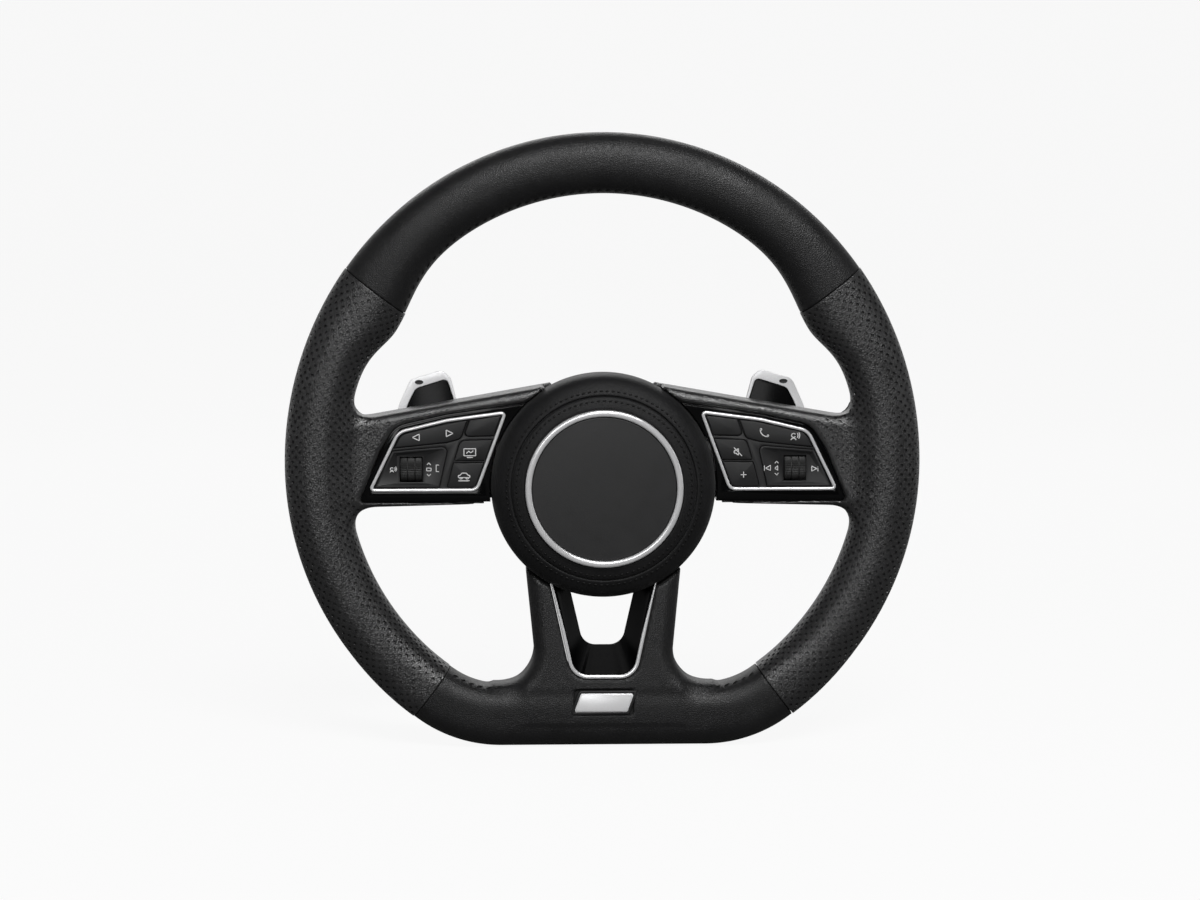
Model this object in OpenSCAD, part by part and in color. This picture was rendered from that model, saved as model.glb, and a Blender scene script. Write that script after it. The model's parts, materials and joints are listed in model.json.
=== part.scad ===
// Sport steering wheel with a flat bottom, a round airbag cover, two key packs and two shift paddles.
// The face looks along -Y and +Z is up. The origin is the steering axis at the back face of the hub,
// and a depth f in this file is the distance in front of that face, so that y = -f.

/* [Rim] */
// Overall width of the rim
rim_w = 370; // [356:2:384]
// Height of the rim's top above the steering axis
rim_rise = 192.5; // [182:0.5:200]
// Drop of the flat bottom below the steering axis
flat_drop = 165.8; // [158:0.2:172]
// Radius of the rim's two lower corners
corner_r = 82; // [66:1:96]
// Thickness of the rim across its grip, seen from the front
grip_t = 35.6; // [32:0.2:39]
// Thickness of the rim from front to back
grip_d = 35; // [31:0.5:40]
// How far the thumb rests bulge inwards
thumb_h = 8.6; // [4:0.2:10]
// Angle of the thumb rests above the horizontal
thumb_a = 33.5; // [30:0.5:38]
// Thickness of the leather
skin_t = 1.4; // [1:0.1:2]
// Angle of the upper leather seams above the horizontal
seam_up = 37.5; // [34:0.5:48]
// Angle of the lower leather seams below the horizontal
seam_low = 53; // [49:0.5:56]

/* [Armature] */
// Distance from the back of the hub to the middle plane of the rim
rim_dish = 58; // [56:0.5:60]
// Diameter of the bore for the steering shaft
bore_d = 17.4; // [14:0.1:20]
// Diameter of the hub boss
boss_d = 36; // [32:0.5:38]
// Depth of the bore behind the seat of the centre bolt
bore_l = 34; // [28:0.5:35]
// Width of the core inside the rim
core_w = 14; // [10:0.5:16]
// Height of the cast side arms
arm_w = 20; // [14:0.5:24]
// Thickness of the cast side arms
arm_t = 6.6; // [5:0.1:6.8]

/* [Airbag module] */
// Drop of the airbag's middle below the steering axis
hub_drop = 12.5; // [11:0.1:14]
// Radius of the airbag cover
cap_r = 65.5; // [63:0.25:67]
// Distance from the back of the hub to the cover's face
cap_face = 81.5; // [78:0.25:86]
// Outer radius of the bright ring
ring_r = 45.7; // [42:0.1:48]
// Width of the bright ring
ring_w = 3.7; // [2.5:0.1:5]
// Radius of the stitched groove
groove_r = 53.6; // [51:0.1:56]
// Travel of the cover as a horn push
horn_travel = 2; // [1.5:0.1:2.2]
// Diameter of the guide bolts
guide_d = 6; // [5:0.1:7]

/* [Side spokes] */
// Depth of the front of the side spokes
spoke_front = 67; // [65:0.25:69]
// Depth of the back of the side spokes
spoke_back_f = 38; // [37:0.25:39]
// Width of the bright frame's visible line
frame_w = 1.8; // [1.2:0.1:2.4]
// Gap round each key
key_gap = 0.35; // [0.3:0.05:0.5]
// Travel of each key
key_travel = 0.8; // [0.5:0.1:1]
// Radius of the thumb rollers
roller_r = 7.2; // [6.8:0.1:7.5]
// Width of the thumb rollers
roller_w = 12.4; // [11:0.1:13]

/* [Lower spoke] */
// Half width of the lower spoke at its waist
waist = 40.9; // [40.2:0.1:43]
// Tilt of the trimmed opening's face
funnel_tilt = 4.5; // [3.5:0.1:5.5]
// Width of the bright U trim
u_trim_w = 2; // [1.4:0.1:2.6]
// Length of the plate below the opening
badge_l = 31; // [26:0.5:34]
// Height of the plate below the opening
badge_h = 11; // [9:0.25:12]
// Slant of the lower plate: how far its top edge lies to the right of its bottom edge
badge_slant = 4; // [0:0.25:5]

/* [Paddles] */
// Thickness of the paddle blades
blade_t = 3.5; // [3:0.1:4]
// Diameter of the paddle pins
pin_d = 3; // [2.5:0.1:3.4]
// Distance of the paddle pins from the steering axis
pin_x = 66.5; // [66:0.25:68]

/* [Hidden] */

// Rim outline
rim_r = rim_w / 2;
corner_z = flat_drop - corner_r;
corner_x = sqrt(pow(rim_r - corner_r, 2) - pow(corner_z, 2));
section_n = 2.25;
section_sides = 16;
ring_step = 6;
seam_gap = 0.4;
glue = 0.1;
cut_back = 20;
cut_front = 95;
pad_sides = 24;
spoke_n = 6;
low_n = 6;
thumb_low = 8;
thumb_up = 12.5;

// Cast core and arms
core_d = 12;
arm_z = 4;
arm_in = cap_r - 17.5;
arm_back = spoke_back_f + 2.4;
plate_t = 8;
cap_back = 50;
plate_f = cap_back - 10;
plate_r = 46;
leg_x = 33;
leg_w = 5;
arm_gap = 0.6;
running = 0.05;
bolt_seat = 5;
wire_hole_x = 31;

// Airbag cover
cap_base = 56;
cap_n = 3.2;
cap_wall = 2.8;
cap_gap = 0.8;
cap_h = cap_face - cap_base;
ring_depth = 4;
pan_f = cap_back + 0.5;
pan_t = 2;
pan_r = 52;
bag_r = 29;
bag_rise = 12.5;
guide_gap = 0.4;
guides = [[0, 28], [34.5, -24], [-34.5, -24]];
cover_r = cap_r - 3.5;
cover_f = 46;
cover_back = 8;
cover_wall = 2.4;
cover_hole_r = 24;
cover_screw_a = [28, 152, 270];
cover_screw_at = 39;
screw_r = 1.7;

// Side spokes and key packs, drawn on the right and mirrored to the left
fine = 0.15;
spoke_top_z = 42.2;
spoke_fall = 0.175;
spoke_low_z = -22.5;
spoke_x0 = 34;
fillet = 14;
wall_x = rim_r - grip_t - 4;
bezel_t = 2.4;
bezel_front = spoke_front - 0.6;
parting = 52;
back_wall = 2;
frame_front = spoke_front + 0.4;
key_front = spoke_front - 0.4;
key_floor = 55;
key_back = 57;
board_t = 1.6;
rocker_x = 101;
rocker_z = 18;
bead_r = 1.5;
key_pivot = key_back + bead_r + 0.3;
roller_x = 111.6;
roller_z = -2.4;
roller_f = 60.6;
dish = 2;

// Lower spoke
flare = 22;
flare_z = -(flat_drop - grip_t) + flare;
low_start = -60;
low_run = 70;
low_mid = 53;
low_half = 15;
funnel_front = 71;
funnel_back = 43;
funnel_z = -95;
trim_t = 1.2;
badge_z = -138.4;
badge_f = 73;

// Paddles
blade_f = 29.5;
pin_f = blade_f + blade_t / 2;
barrel_r = 4.2;
lug_t = 4;
barrel_z0 = -8;
barrel_z1 = 12;

// Outline of the right key pack's bright frame: x, z and corner radius
frame_pts = [[136.9, -15.3, 2.5], [73, -15.3, 6], [55.6, 31.8, 2.5], [91, 27.2, 60], [119.4, 20.4, 10]];
// Outline of the right bezel
bezel_pts = [
    [142, -21.3, 2], [44, -21.3, 0], [44, 36.2, 0], [91, 29.6, 60], [120.5, 23, 14],
    [129.5, 8.5, 20]
];
// Outlines that part the keys inside the frame
rocker_zone = [[134, 8.6, 0], [134, 40, 0], [73.9, 40, 0], [82.6, 15.2, 4], [91, 13, 6]];
blank_zone = [[81.8, 16.4, 2.5], [73, 40, 0], [45, 40, 0], [45, 17.4, 0]];
middle_zone = [[83.2, 14.6, 4], [45, 15.8, 0], [45, 3, 0], [86.9, 2.4, 0.8]];
lower_zone = [[87.2, 1.6, 0.8], [45, 2.2, 0], [45, -18, 0], [92.4, -18, 0]];
tilt_zone = [[140, 7.2, 0], [89.8, 11.3, 3], [96.2, -18, 0], [140, -18, 0]];
// Outline of the right paddle blade
blade_pts = [
    [66, -7.5, 1], [74, -7.5, 2], [80, -11, 4], [114, -13, 6], [122.5, 6, 30], [120.4, 30, 25],
    [112.6, 47, 5], [94, 52.6, 5], [89, 48, 5], [85.8, 36, 10], [79, 12, 8], [66, 12, 2]
];
face_pts = [
    [72, -6, 2], [111, -10.5, 5], [117.6, 6, 28], [115.8, 30, 25], [109.6, 42, 5], [91, 47.8, 3],
    [87, 35, 8], [81, 10, 8], [72, 10, 2]
];

function unit(v) = v / norm(v);

// Points of one rounded corner: p, v and q are the corner before, the corner and the next one
function corner_arc(p, v, q, r, k = 6) =
    let(
        d1 = unit(p - v), d2 = unit(q - v), half = acos(d1 * d2) / 2,
        c = v + unit(d1 + d2) * r / sin(half),
        s = v + d1 * r / tan(half) - c, e = v + d2 * r / tan(half) - c,
        a1 = atan2(s.y, s.x), turn = atan2(e.y, e.x) - a1,
        sweep = turn > 180 ? turn - 360 : turn < -180 ? turn + 360 : turn
    )
    [for (i = [0:k]) c + r * [cos(a1 + sweep * i / k), sin(a1 + sweep * i / k)]];

// An outline whose points carry their own corner radius
function rounded(pts) = let(n = len(pts)) [
    for (i = [0:n - 1]) let(
        a = pts[(i + n - 1) % n], b = pts[i], c = pts[(i + 1) % n],
        p = [a.x, a.y], v = [b.x, b.y], q = [c.x, c.y]
    ) each (b.z > 0 ? corner_arc(p, v, q, b.z) : [v])
];

// Slab from depth f0 to f1 of an outline drawn in x and z
module slab(f0, f1) {
    translate([0, -f0, 0]) rotate([90, 0, 0]) linear_extrude(f1 - f0) children();
}

// The same outline as a cut right through the front of the wheel
module cut() {
    slab(cut_back, cut_front) children();
}

// Slab from x0 to x1 of an outline drawn in y and z
module slab_x(x0, x1) {
    translate([x0, 0, 0]) rotate([90, 0, 90]) linear_extrude(x1 - x0) children();
}

// Body of revolution round the airbag's middle, from a profile of radius and depth
module turned() {
    translate([0, 0, -hub_drop]) rotate([90, 0, 0]) rotate_extrude($fn = 120) children();
}

// Round bar along Y from depth f0 to f1
module bar(x, z, r, f0, f1) {
    translate([x, -f0, z]) rotate([90, 0, 0]) cylinder(r = r, h = f1 - f0, $fn = 64);
}

module left_side() {
    mirror([1, 0, 0]) children();
}

// Rim radii at angle a from +X, moved in from the leather's face by g
function elevation(a) = asin(sin(a));
function thumb(e) = thumb_h * exp(-pow((e - thumb_a) / (e < thumb_a ? thumb_low : thumb_up), 2));
function low_r(psi, g) =
    let(d = corner_x * sin(psi) + corner_z * cos(psi), rc = corner_r - g)
    psi <= atan(corner_x / (flat_drop - g)) ? (flat_drop - g) / cos(psi)
    : psi >= atan2(corner_x, corner_z) ? rim_r - g
    : d + sqrt(d * d - corner_x * corner_x - corner_z * corner_z + rc * rc);
function up_out(e) = 1 / sqrt(pow(cos(e) / rim_r, 2) + pow(sin(e) / rim_rise, 2));
function up_in(e) = rim_r - grip_t + (rim_rise - rim_r) * pow(sin(e), 2);
function rim_out(a, g) = let(e = elevation(a)) e >= 0 ? up_out(e) - g : low_r(90 + e, g);
function rim_in(a, g) =
    let(e = elevation(a)) e >= 0 ? up_in(e) - thumb(e) + g : low_r(90 + e, grip_t - g);
function rim_mid(a) =
    let(e = elevation(a)) (rim_out(a, 0) + (e >= 0 ? up_in(e) : low_r(90 + e, grip_t))) / 2;

// Angles of the rim's rings from a0 to a1: the two ends and each multiple of the step between them
function stations(a0, a1) = concat(
    [a0], [for (k = [floor(a0 / ring_step) + 1:ceil(a1 / ring_step) - 1]) k * ring_step], [a1]
);
function drop_last(v) = [for (i = [0:len(v) - 2]) v[i]];
function right_grip() = stations(-seam_low, seam_up);
function top_arc() = stations(seam_up, 180 - seam_up);
function left_grip() = stations(180 - seam_up, 180 + seam_low);
function low_arc() = stations(180 + seam_low, 360 - seam_low);
function power(v, n) = sign(v) * pow(abs(v), n);
function section(a, g) =
    let(ro = rim_out(a, g), ri = rim_in(a, g), m = (ro + ri) / 2, h = (ro - ri) / 2) [
        for (i = [0:section_sides - 1]) let(
            t = 360 * i / section_sides,
            r = m + h * power(cos(t), 2 / section_n),
            f = rim_dish + (grip_d / 2 - g) * power(sin(t), 2 / section_n)
        ) [r * cos(a), -f, r * sin(a)]
    ];

// Faces between neighbouring loops of a sweep, turned outwards, or inwards for a hollow
function band(rings, first, count, stride, hollow = false) = [
    for (j = [0:rings - 2], i = [0:count - 1]) let(
        a = j * stride + first + i, b = j * stride + first + (i + 1) % count,
        c = b + stride, d = a + stride
    ) hollow ? [d, c, b, a] : [a, b, c, d]
];

// Solid stretch of the rim through the given angles, moved in by g
module rim_bar(angles, g) {
    loft([for (a = angles) section(a, g)]);
}

// The same stretch, with each end carried on, so that it cuts a hollow right through
module rim_hollow(angles) {
    rim_bar(concat([angles[0] - 3], angles, [angles[len(angles) - 1] + 3]), skin_t);
}

// Closed ring of the whole rim, moved in by g
module rim_ring(g) {
    angles = concat(
        drop_last(right_grip()), drop_last(top_arc()), drop_last(left_grip()), drop_last(low_arc())
    );
    k = len(angles);
    s = section_sides;
    points = [for (a = angles) each section(a, g)];
    faces = [
        for (j = [0:k - 1], i = [0:s - 1]) let(n = (j + 1) % k, m = (i + 1) % s)
            [j * s + i, j * s + m, n * s + m, n * s + i]
    ];
    polyhedron(points, faces, convexity = 10);
}

// Leather sleeve of the rim through the given angles
module rim_sleeve(angles) {
    k = len(angles) - 1;
    s = section_sides;
    w = 2 * s;
    points = [for (a = angles) each concat(section(a, 0), section(a, skin_t))];
    start = [for (i = [0:s - 1]) let(m = (i + 1) % s) [i, i + s, m + s, m]];
    end = [for (i = [0:s - 1]) let(m = (i + 1) % s) [m, m + s, i + s, i] + k * w * [1, 1, 1, 1]];
    polyhedron(points, concat(band(k + 1, 0, s, w), band(k + 1, s, s, w, true), start, end), convexity = 8);
}

// Solid through closed loops of points, one loop for each station
module loft(loops) {
    k = len(loops) - 1;
    s = len(loops[0]);
    faces = concat(
        band(k + 1, 0, s, s), [[for (i = [s - 1:-1:0]) i]], [[for (i = [0:s - 1]) k * s + i]]
    );
    polyhedron([for (l = loops) each l], faces, convexity = 6);
}

// Padding of the right side spoke, moved in by g; it rises in fillets to the rim and rounds off there
function fillet_u(x) = min(max(x - wall_x + fillet, 0), fillet - 0.4);
function fillet_rise(x) = fillet - sqrt(fillet * fillet - pow(fillet_u(x), 2));
function spoke_top(x) = spoke_top_z - spoke_fall * (x - 53) + fillet_rise(x);
function spoke_low(x) = spoke_low_z - 0.023 * (x - 50) - fillet_rise(x);
function spoke_loop(x, g) =
    let(
        top = spoke_top(x) - g, low = spoke_low(x) + g, d = (spoke_front - spoke_back_f) / 2 - g,
        n = spoke_n - (spoke_n - 2.4) * fillet_u(x) / fillet
    ) [
        for (i = [0:pad_sides - 1]) let(t = 360 * i / pad_sides) [
            x, -(spoke_front + spoke_back_f) / 2 + d * power(sin(t), 2 / n),
            (top + low) / 2 + (top - low) / 2 * power(cos(t), 2 / n)
        ]
    ];
module spoke_pad(g) {
    xs = [
        spoke_x0, 90, wall_x - fillet, wall_x - 9, wall_x - 5.5, wall_x - 3, wall_x - 1.4,
        wall_x - 0.4, wall_x + 7
    ];
    loft([for (x = xs) spoke_loop(x, g)]);
}

module bezel_outline() {
    polygon(rounded(bezel_pts));
}

module bezel_pocket() {
    cut() offset(delta = fine * 2) bezel_outline();
}

// Room round the airbag cover, over its whole travel, and round the rear cover behind it
module cap_clearance() {
    bar(0, -hub_drop, cap_r + cap_gap, cap_back - horn_travel - 1, cut_front);
    bar(0, -hub_drop, cover_r + cap_gap, cut_back, cap_back);
}

// Lower spoke: half width, middle depth and half depth at height z
function low_u(z) = min(max(flare_z - z, 0), flare - 0.2);
function low_w(z) = waist + 0.1 * max(z - flare_z, 0) + flare - sqrt(flare * flare - pow(low_u(z), 2));
function low_k(z) = min(max((low_start - z) / low_run, 0), 1);
function low_f(z) = low_mid + (rim_dish - low_mid) * low_k(z);
function low_d(z) = low_half + (grip_d / 2 - 0.5 - low_half) * low_k(z);
function low_loop(z, g) =
    let(n = low_n - (low_n - 2.4) * low_u(z) / flare) [
        for (i = [0:pad_sides - 1]) let(t = 360 * i / pad_sides) [
            (low_w(z) - g) * power(cos(t), 2 / n), -low_f(z) + (low_d(z) - g) * power(sin(t), 2 / n), z
        ]
    ];
module low_pad(g) {
    zs = [
        -54, -80, flare_z, flare_z - 7, flare_z - 12, flare_z - 16, flare_z - 19, flare_z - 21,
        flare_z - 32, flare_z - 42
    ];
    loft([for (z = zs) low_loop(z, g)]);
}

// U outline of the lower opening: half widths at the top and bottom, its bottom and corner radius
module u_outline(top_w, low_w, bottom, r) {
    hull() {
        translate([-top_w, -56]) square([2 * top_w, 0.1]);
        for (x = [-1, 1]) translate([x * (low_w - r), bottom + r]) circle(r, $fn = 48);
    }
}
module u_outer(g) {
    u_outline(33.7 - g, 21 - g, -124.7 + g, 12 - g);
}
module u_throat() {
    u_outline(23.2, 13.2, -107.2, 9);
}
module tilted() {
    translate([0, -funnel_front, funnel_z]) rotate([-funnel_tilt, 0, 0])
        translate([0, funnel_front, -funnel_z]) children();
}
module funnel_pocket() {
    tilted() cut() u_outer(-fine * 2);
}
module badge_pocket() {
    slab(badge_f, cut_front) badge_outline(1.7);
}

// Core of the rim with a clearance c all round
module core_outline(off) {
    polygon([for (a = [0:5:355]) (rim_mid(a) + off) * [cos(a), sin(a)]]);
}
module core_ring(c) {
    slab(rim_dish - core_d / 2 - c, rim_dish + core_d / 2 + c) difference() {
        core_outline(core_w / 2 + c);
        core_outline(-core_w / 2 - c);
    }
}
// Cast side arm with a clearance c
module side_arm(c) {
    end_x = rim_mid(0);
    f0 = arm_back - c;
    f1 = arm_back + arm_t + c;
    translate([0, 0, arm_z - arm_w / 2 - c]) linear_extrude(arm_w + 2 * c) polygon([
        [arm_in - 20, -plate_f + plate_t + c], [arm_in + 2, -f0], [wall_x - 9, -f0],
        [end_x - 13, -rim_dish + 5 + c],
        [end_x, -rim_dish + 5 + c], [end_x, -rim_dish - 5 - c], [end_x - 8, -rim_dish - 5 - c],
        [wall_x - 12, -f1], [arm_in, -f1], [arm_in - 20, -plate_f - c]
    ]);
}
// Cast lower leg with a clearance c
module lower_leg(c) {
    end_z = -rim_mid(270);
    f0 = arm_back - 0.8 - c;
    f1 = arm_back + arm_t + c;
    slab_x(leg_x - c, leg_x + leg_w + c) polygon([
        [-plate_f + plate_t + c, -34], [-f0, -48], [-f0 - 2.4, -60], [-f0 - 3.6, -76],
        [-rim_dish + 6 + c, -95],
        [-rim_dish + 5 + c, end_z], [-rim_dish - 5 - c, end_z], [-rim_dish - 3 - c, -94],
        [-f1, -72], [-f1, -46], [-plate_f - c, -34]
    ]);
}
module both_sides() {
    children();
    left_side() children();
}
module cast_frame(c) {
    core_ring(c);
    both_sides() side_arm(c);
    both_sides() lower_leg(c);
}

module armature() {
    color("silver") difference() {
        union() {
            cast_frame(0);
            bar(0, -hub_drop, plate_r, plate_f - plate_t, plate_f);
            bar(0, 0, boss_d / 2, 0, plate_f);
        }
        bar(0, 0, bore_d / 2, -1, plate_f + 1);
        bar(0, 0, bore_d / 2 + bolt_seat, bore_l, plate_f + 1);
        for (g = guides) bar(g.x, g.y, guide_d / 2 + guide_gap, 0, plate_f + 1);
        cover_screw_places() bar(0, 0, screw_r + 0.02, 0, plate_f - 2);
        for (x = [-1, 1]) bar(x * wire_hole_x, -hub_drop - 2, 5, plate_f - plate_t - 1, plate_f + 1);
        bar(0, -hub_drop - wire_hole_x, 8, plate_f - plate_t - 1, plate_f + 1);
    }
}

module rim_foam() {
    g = skin_t + glue;
    color("dimgray") difference() {
        union() {
            rim_ring(g);
            both_sides() spoke_pad(g);
            low_pad(g);
        }
        cast_frame(glue);
        both_sides() bezel_pocket();
        cap_clearance();
        funnel_pocket();
        badge_pocket();
    }
}

module leather_top() {
    color([0.1, 0.1, 0.105]) rim_sleeve(top_arc());
}

module leather_right() {
    color([0.09, 0.09, 0.095]) difference() {
        union() {
            rim_bar(stations(-seam_low, seam_up - seam_gap), 0);
            spoke_pad(0);
        }
        rim_hollow(right_grip());
        spoke_pad(skin_t);
        bezel_pocket();
        cap_clearance();
    }
}

module leather_left() {
    left_side() leather_right();
}

module leather_bottom() {
    color([0.1, 0.1, 0.105]) difference() {
        union() {
            rim_bar(stations(180 + seam_low + seam_gap, 360 - seam_low - seam_gap), 0);
            low_pad(0);
        }
        rim_hollow(low_arc());
        low_pad(skin_t);
        funnel_pocket();
        badge_pocket();
        cap_clearance();
    }
}

module rear_cover() {
    r = cover_r;
    w = cover_wall;
    b = cover_back;
    outer = [[r, cover_f], [r - 0.8, 38], [r - 4, 22], [r - 8, b + 4], [r - 12, b], [20, b]];
    inner = [
        [20, b + w], [r - 12 - w, b + w], [r - 8 - w, b + 4 + w], [r - 4 - w, 22], [r - 0.8 - w, 38],
        [r - w, cover_f]
    ];
    color([0.08, 0.08, 0.08]) difference() {
        union() {
            turned() polygon(concat(outer, inner));
            cover_screw_places() bar(0, 0, 5, b + 1, plate_f - plate_t);
        }
        bar(0, 0, cover_hole_r, 0, 20);
        both_sides() side_arm(arm_gap);
        both_sides() lower_leg(arm_gap);
        both_sides() slab(arm_back, cap_back + 10) translate([arm_in, arm_z - arm_w / 2 - arm_gap])
            square([20, arm_w + 2 * arm_gap]);
        both_sides() slab(arm_back, cap_back + 10) translate([leg_x - arm_gap, -hub_drop - cover_r + 0.5])
            square([leg_w + 2 * arm_gap, 20]);
        cover_screw_places() bar(0, 0, screw_r + 0.1, 0, plate_f);
    }
}
module cover_screw_places() {
    for (a = cover_screw_a)
        translate([cover_screw_at * cos(a), 0, cover_screw_at * sin(a) - hub_drop]) children();
}
module rear_cover_screws() {
    color("gray") cover_screw_places() {
        bar(0, 0, screw_r, cover_back, plate_f - 3);
        bar(0, 0, 2 * screw_r, cover_back - 2, cover_back);
    }
}

// Airbag cover
function cap_pt(t, g) =
    [(cap_r - g) * pow(cos(t), 2 / cap_n), cap_base + (cap_h - g) * pow(sin(t), 2 / cap_n)];
function cap_t(r, g) = acos(pow(r / (cap_r - g), cap_n / 2));
function cap_line(r0, r1, g, k = 8) =
    [for (i = [0:k]) cap_pt(cap_t(r0, g) + (cap_t(r1, g) - cap_t(r0, g)) * i / k, g)];
function backwards(v) = [for (i = [len(v) - 1:-1:0]) v[i]];
module cover_sheet(r0, r1, g, w) {
    polygon(concat(cap_line(r0, r1, g), backwards(cap_line(r0, r1, g + w))));
}

module airbag_cover() {
    g = skin_t + glue;
    h = g + cap_wall;
    seat = ring_r + 0.2;
    color([0.1, 0.1, 0.1]) turned() polygon(concat(
        [[cap_r - g, cap_back + 0.5]], cap_line(cap_r - g, seat, g),
        [[seat, cap_face - ring_depth], [0, cap_face - ring_depth], [0, cap_face - ring_depth - 2.4]],
        [[seat - 6, cap_face - ring_depth - 2.4]],
        backwards(cap_line(cap_r - h, seat - 4, h)), [[cap_r - h, cap_back + 0.5]]
    ));
}
module cover_front_leather() {
    color([0.12, 0.12, 0.12]) turned() cover_sheet(groove_r - 0.3, ring_r + 0.3, 0, skin_t);
}
module cover_side_leather() {
    color([0.1, 0.1, 0.1]) turned() polygon(concat(
        [[cap_r, cap_back]], cap_line(cap_r, groove_r + 0.3, 0, 12),
        backwards(cap_line(cap_r - skin_t, groove_r + 0.3, skin_t, 12)), [[cap_r - skin_t, cap_back]]
    ));
}
module cover_ring() {
    r0 = ring_r - ring_w;
    f = cap_face - ring_depth;
    color("silver") turned() polygon([
        [r0, f], [ring_r, f], [ring_r, f + 3], [ring_r - 0.6, f + 4], [ring_r - 1.8, f + 4.5],
        [r0 + 0.8, f + 4], [r0, f + 3.2]
    ]);
}
module cover_disc() {
    r = ring_r - ring_w - 0.1;
    f = cap_face - ring_depth;
    color([0.14, 0.14, 0.145]) turned()
        polygon([[0, f], [r, f], [r, f + 2.6], [r - 0.8, f + 3.1], [r * 0.6, f + 3.8], [0, f + 4]]);
}

module airbag_pan() {
    color("gray") difference() {
        turned() polygon([
            [bag_r + 0.5, pan_f], [pan_r, pan_f], [pan_r, pan_f + 12], [pan_r + 6, pan_f + 12],
            [pan_r + 6, pan_f + 13.5], [pan_r - 1.6, pan_f + 13.5], [pan_r - 1.6, pan_f + pan_t],
            [bag_r + 0.5, pan_f + pan_t]
        ]);
        for (g = guides) bar(g.x, g.y, guide_d / 2, 0, cut_front);
    }
}
module inflator() {
    f = pan_f + pan_t;
    back = plate_f + 4;
    front = f + bag_rise;
    color("darkgray") turned() polygon([
        [0, back], [bag_r - 4, back], [bag_r, back + 2], [bag_r, f], [bag_r + 3.5, f],
        [bag_r + 3.5, f + 1.5], [bag_r, f + 1.5], [bag_r, front - 3], [bag_r - 3, front], [0, front]
    ]);
}
module airbag_cushion() {
    r = pan_r - 2.4;
    f = pan_f + pan_t + 1.8;
    hollow = pan_f + pan_t + bag_rise + 0.4;
    top = cap_face - ring_depth - 3;
    color("whitesmoke") difference() {
        turned() polygon([
            [0, hollow], [bag_r + 0.4, hollow], [bag_r + 0.4, f], [r - 2, f], [r, f + 3], [r, top - 10],
            [r - 4, top - 3], [r - 14, top], [0, top]
        ]);
        for (g = guides) bar(g.x, g.y, guide_d / 2 + 2.2, 0, f + 2.4);
    }
}
module guide_bolts() {
    color("silver") for (g = guides) {
        bar(g.x, g.y, guide_d / 2 - fine / 3, plate_f - plate_t - 4, pan_f + pan_t + 1.4);
        bar(g.x, g.y, guide_d / 2 + 2, plate_f - plate_t - 4, plate_f - plate_t - 0.3);
    }
}

// Coil spring along Y at x, z between two depths
module coil(x, z, r, wire, f0, f1, turns) {
    n = 10 * turns;
    s = 5;
    span = f1 - f0 - 2 * wire;
    points = [
        for (i = [0:n], j = [0:s - 1]) let(
            a = 360 * turns * i / n, b = 360 * j / s, q = r + wire * cos(b),
            f = f0 + wire + span * i / n + wire * sin(b)
        ) [x + q * cos(a), -f, z + q * sin(a)]
    ];
    faces = concat(
        band(n + 1, 0, s, s), [[for (j = [s - 1:-1:0]) j]], [[for (j = [0:s - 1]) n * s + j]]
    );
    polyhedron(points, faces, convexity = 8);
}
module horn_springs() {
    color("lightgray") for (g = guides)
        coil(g.x, g.y, guide_d / 2 + 1.6, 0.6, plate_f + 0.05, pan_f - 0.05, 3);
}

// Lower opening
module lower_bezel() {
    color([0.02, 0.02, 0.02]) difference() {
        tilted() difference() {
            slab(funnel_back, funnel_front) u_outer(0);
            slab(funnel_front - 1.6, cut_front) u_outer(u_trim_w + 0.6);
            slab(funnel_front - trim_t, cut_front) u_outer(-0.1);
            hull() {
                slab(funnel_front - 1.61, funnel_front - 1.6) u_outer(u_trim_w + 0.6);
                slab(funnel_back + 4, funnel_back + 4.01) u_throat();
            }
            slab(0, funnel_back + 5) u_throat();
        }
        cap_clearance();
    }
}
module lower_trim() {
    color("silver") difference() {
        tilted() slab(funnel_front - trim_t, funnel_front + 0.4) difference() {
            u_outer(0);
            u_outer(u_trim_w);
        }
        cap_clearance();
    }
}
module badge_frame() {
    color([0.03, 0.03, 0.03]) difference() {
        slab(badge_f, badge_f + 3.4) offset(r = 1.2) badge_outline(0.3);
        slab(badge_f + 1.6, cut_front) badge_shape(fine);
    }
}
module badge_outline(g) {
    half = [badge_l / 2, badge_h / 2];
    s = badge_slant / 2;
    offset(delta = g) translate([0, badge_z])
        polygon([[-half.x - s, -half.y], [half.x - s, -half.y], [half.x + s, half.y], [s - half.x, half.y]]);
}
module badge_shape(g) {
    offset(r = 1) badge_outline(g - 1);
}
module badge_plate() {
    color("silver") {
        slab(badge_f + 1.6, badge_f + 3.6) badge_shape(0);
        slab(badge_f + 3.6, badge_f + 4) badge_shape(-0.5);
    }
}

// Key packs, right side
module frame_outline(g) {
    offset(delta = -g) polygon(rounded(frame_pts));
}
module zone(pts, g) {
    intersection() {
        frame_outline(frame_w + 0.5 + g);
        offset(delta = -g) polygon(rounded(pts));
    }
}
module bezel() {
    color([0.03, 0.03, 0.03]) difference() {
        union() {
            slab(bezel_front - bezel_t, bezel_front - 0.8) bezel_outline();
            slab(bezel_front - 0.8, bezel_front) offset(delta = -0.8) bezel_outline();
            slab(parting, bezel_front - bezel_t + 0.1) difference() {
                bezel_outline();
                offset(delta = -1.8) bezel_outline();
            }
        }
        cut() frame_outline(-fine);
        cap_clearance();
    }
}
module frame() {
    color("silver") {
        slab(key_floor + 4, frame_front - 0.5) frame_line(0, frame_w);
        slab(frame_front - 0.5, frame_front) frame_line(0.4, frame_w - 0.4);
    }
}
module frame_line(g0, g1) {
    difference() {
        frame_outline(g0);
        frame_outline(g1);
    }
}
module roller_slot() {
    translate([roller_x, roller_z]) square([roller_w + 8, 2 * roller_r + 2.6], center = true);
}
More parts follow.
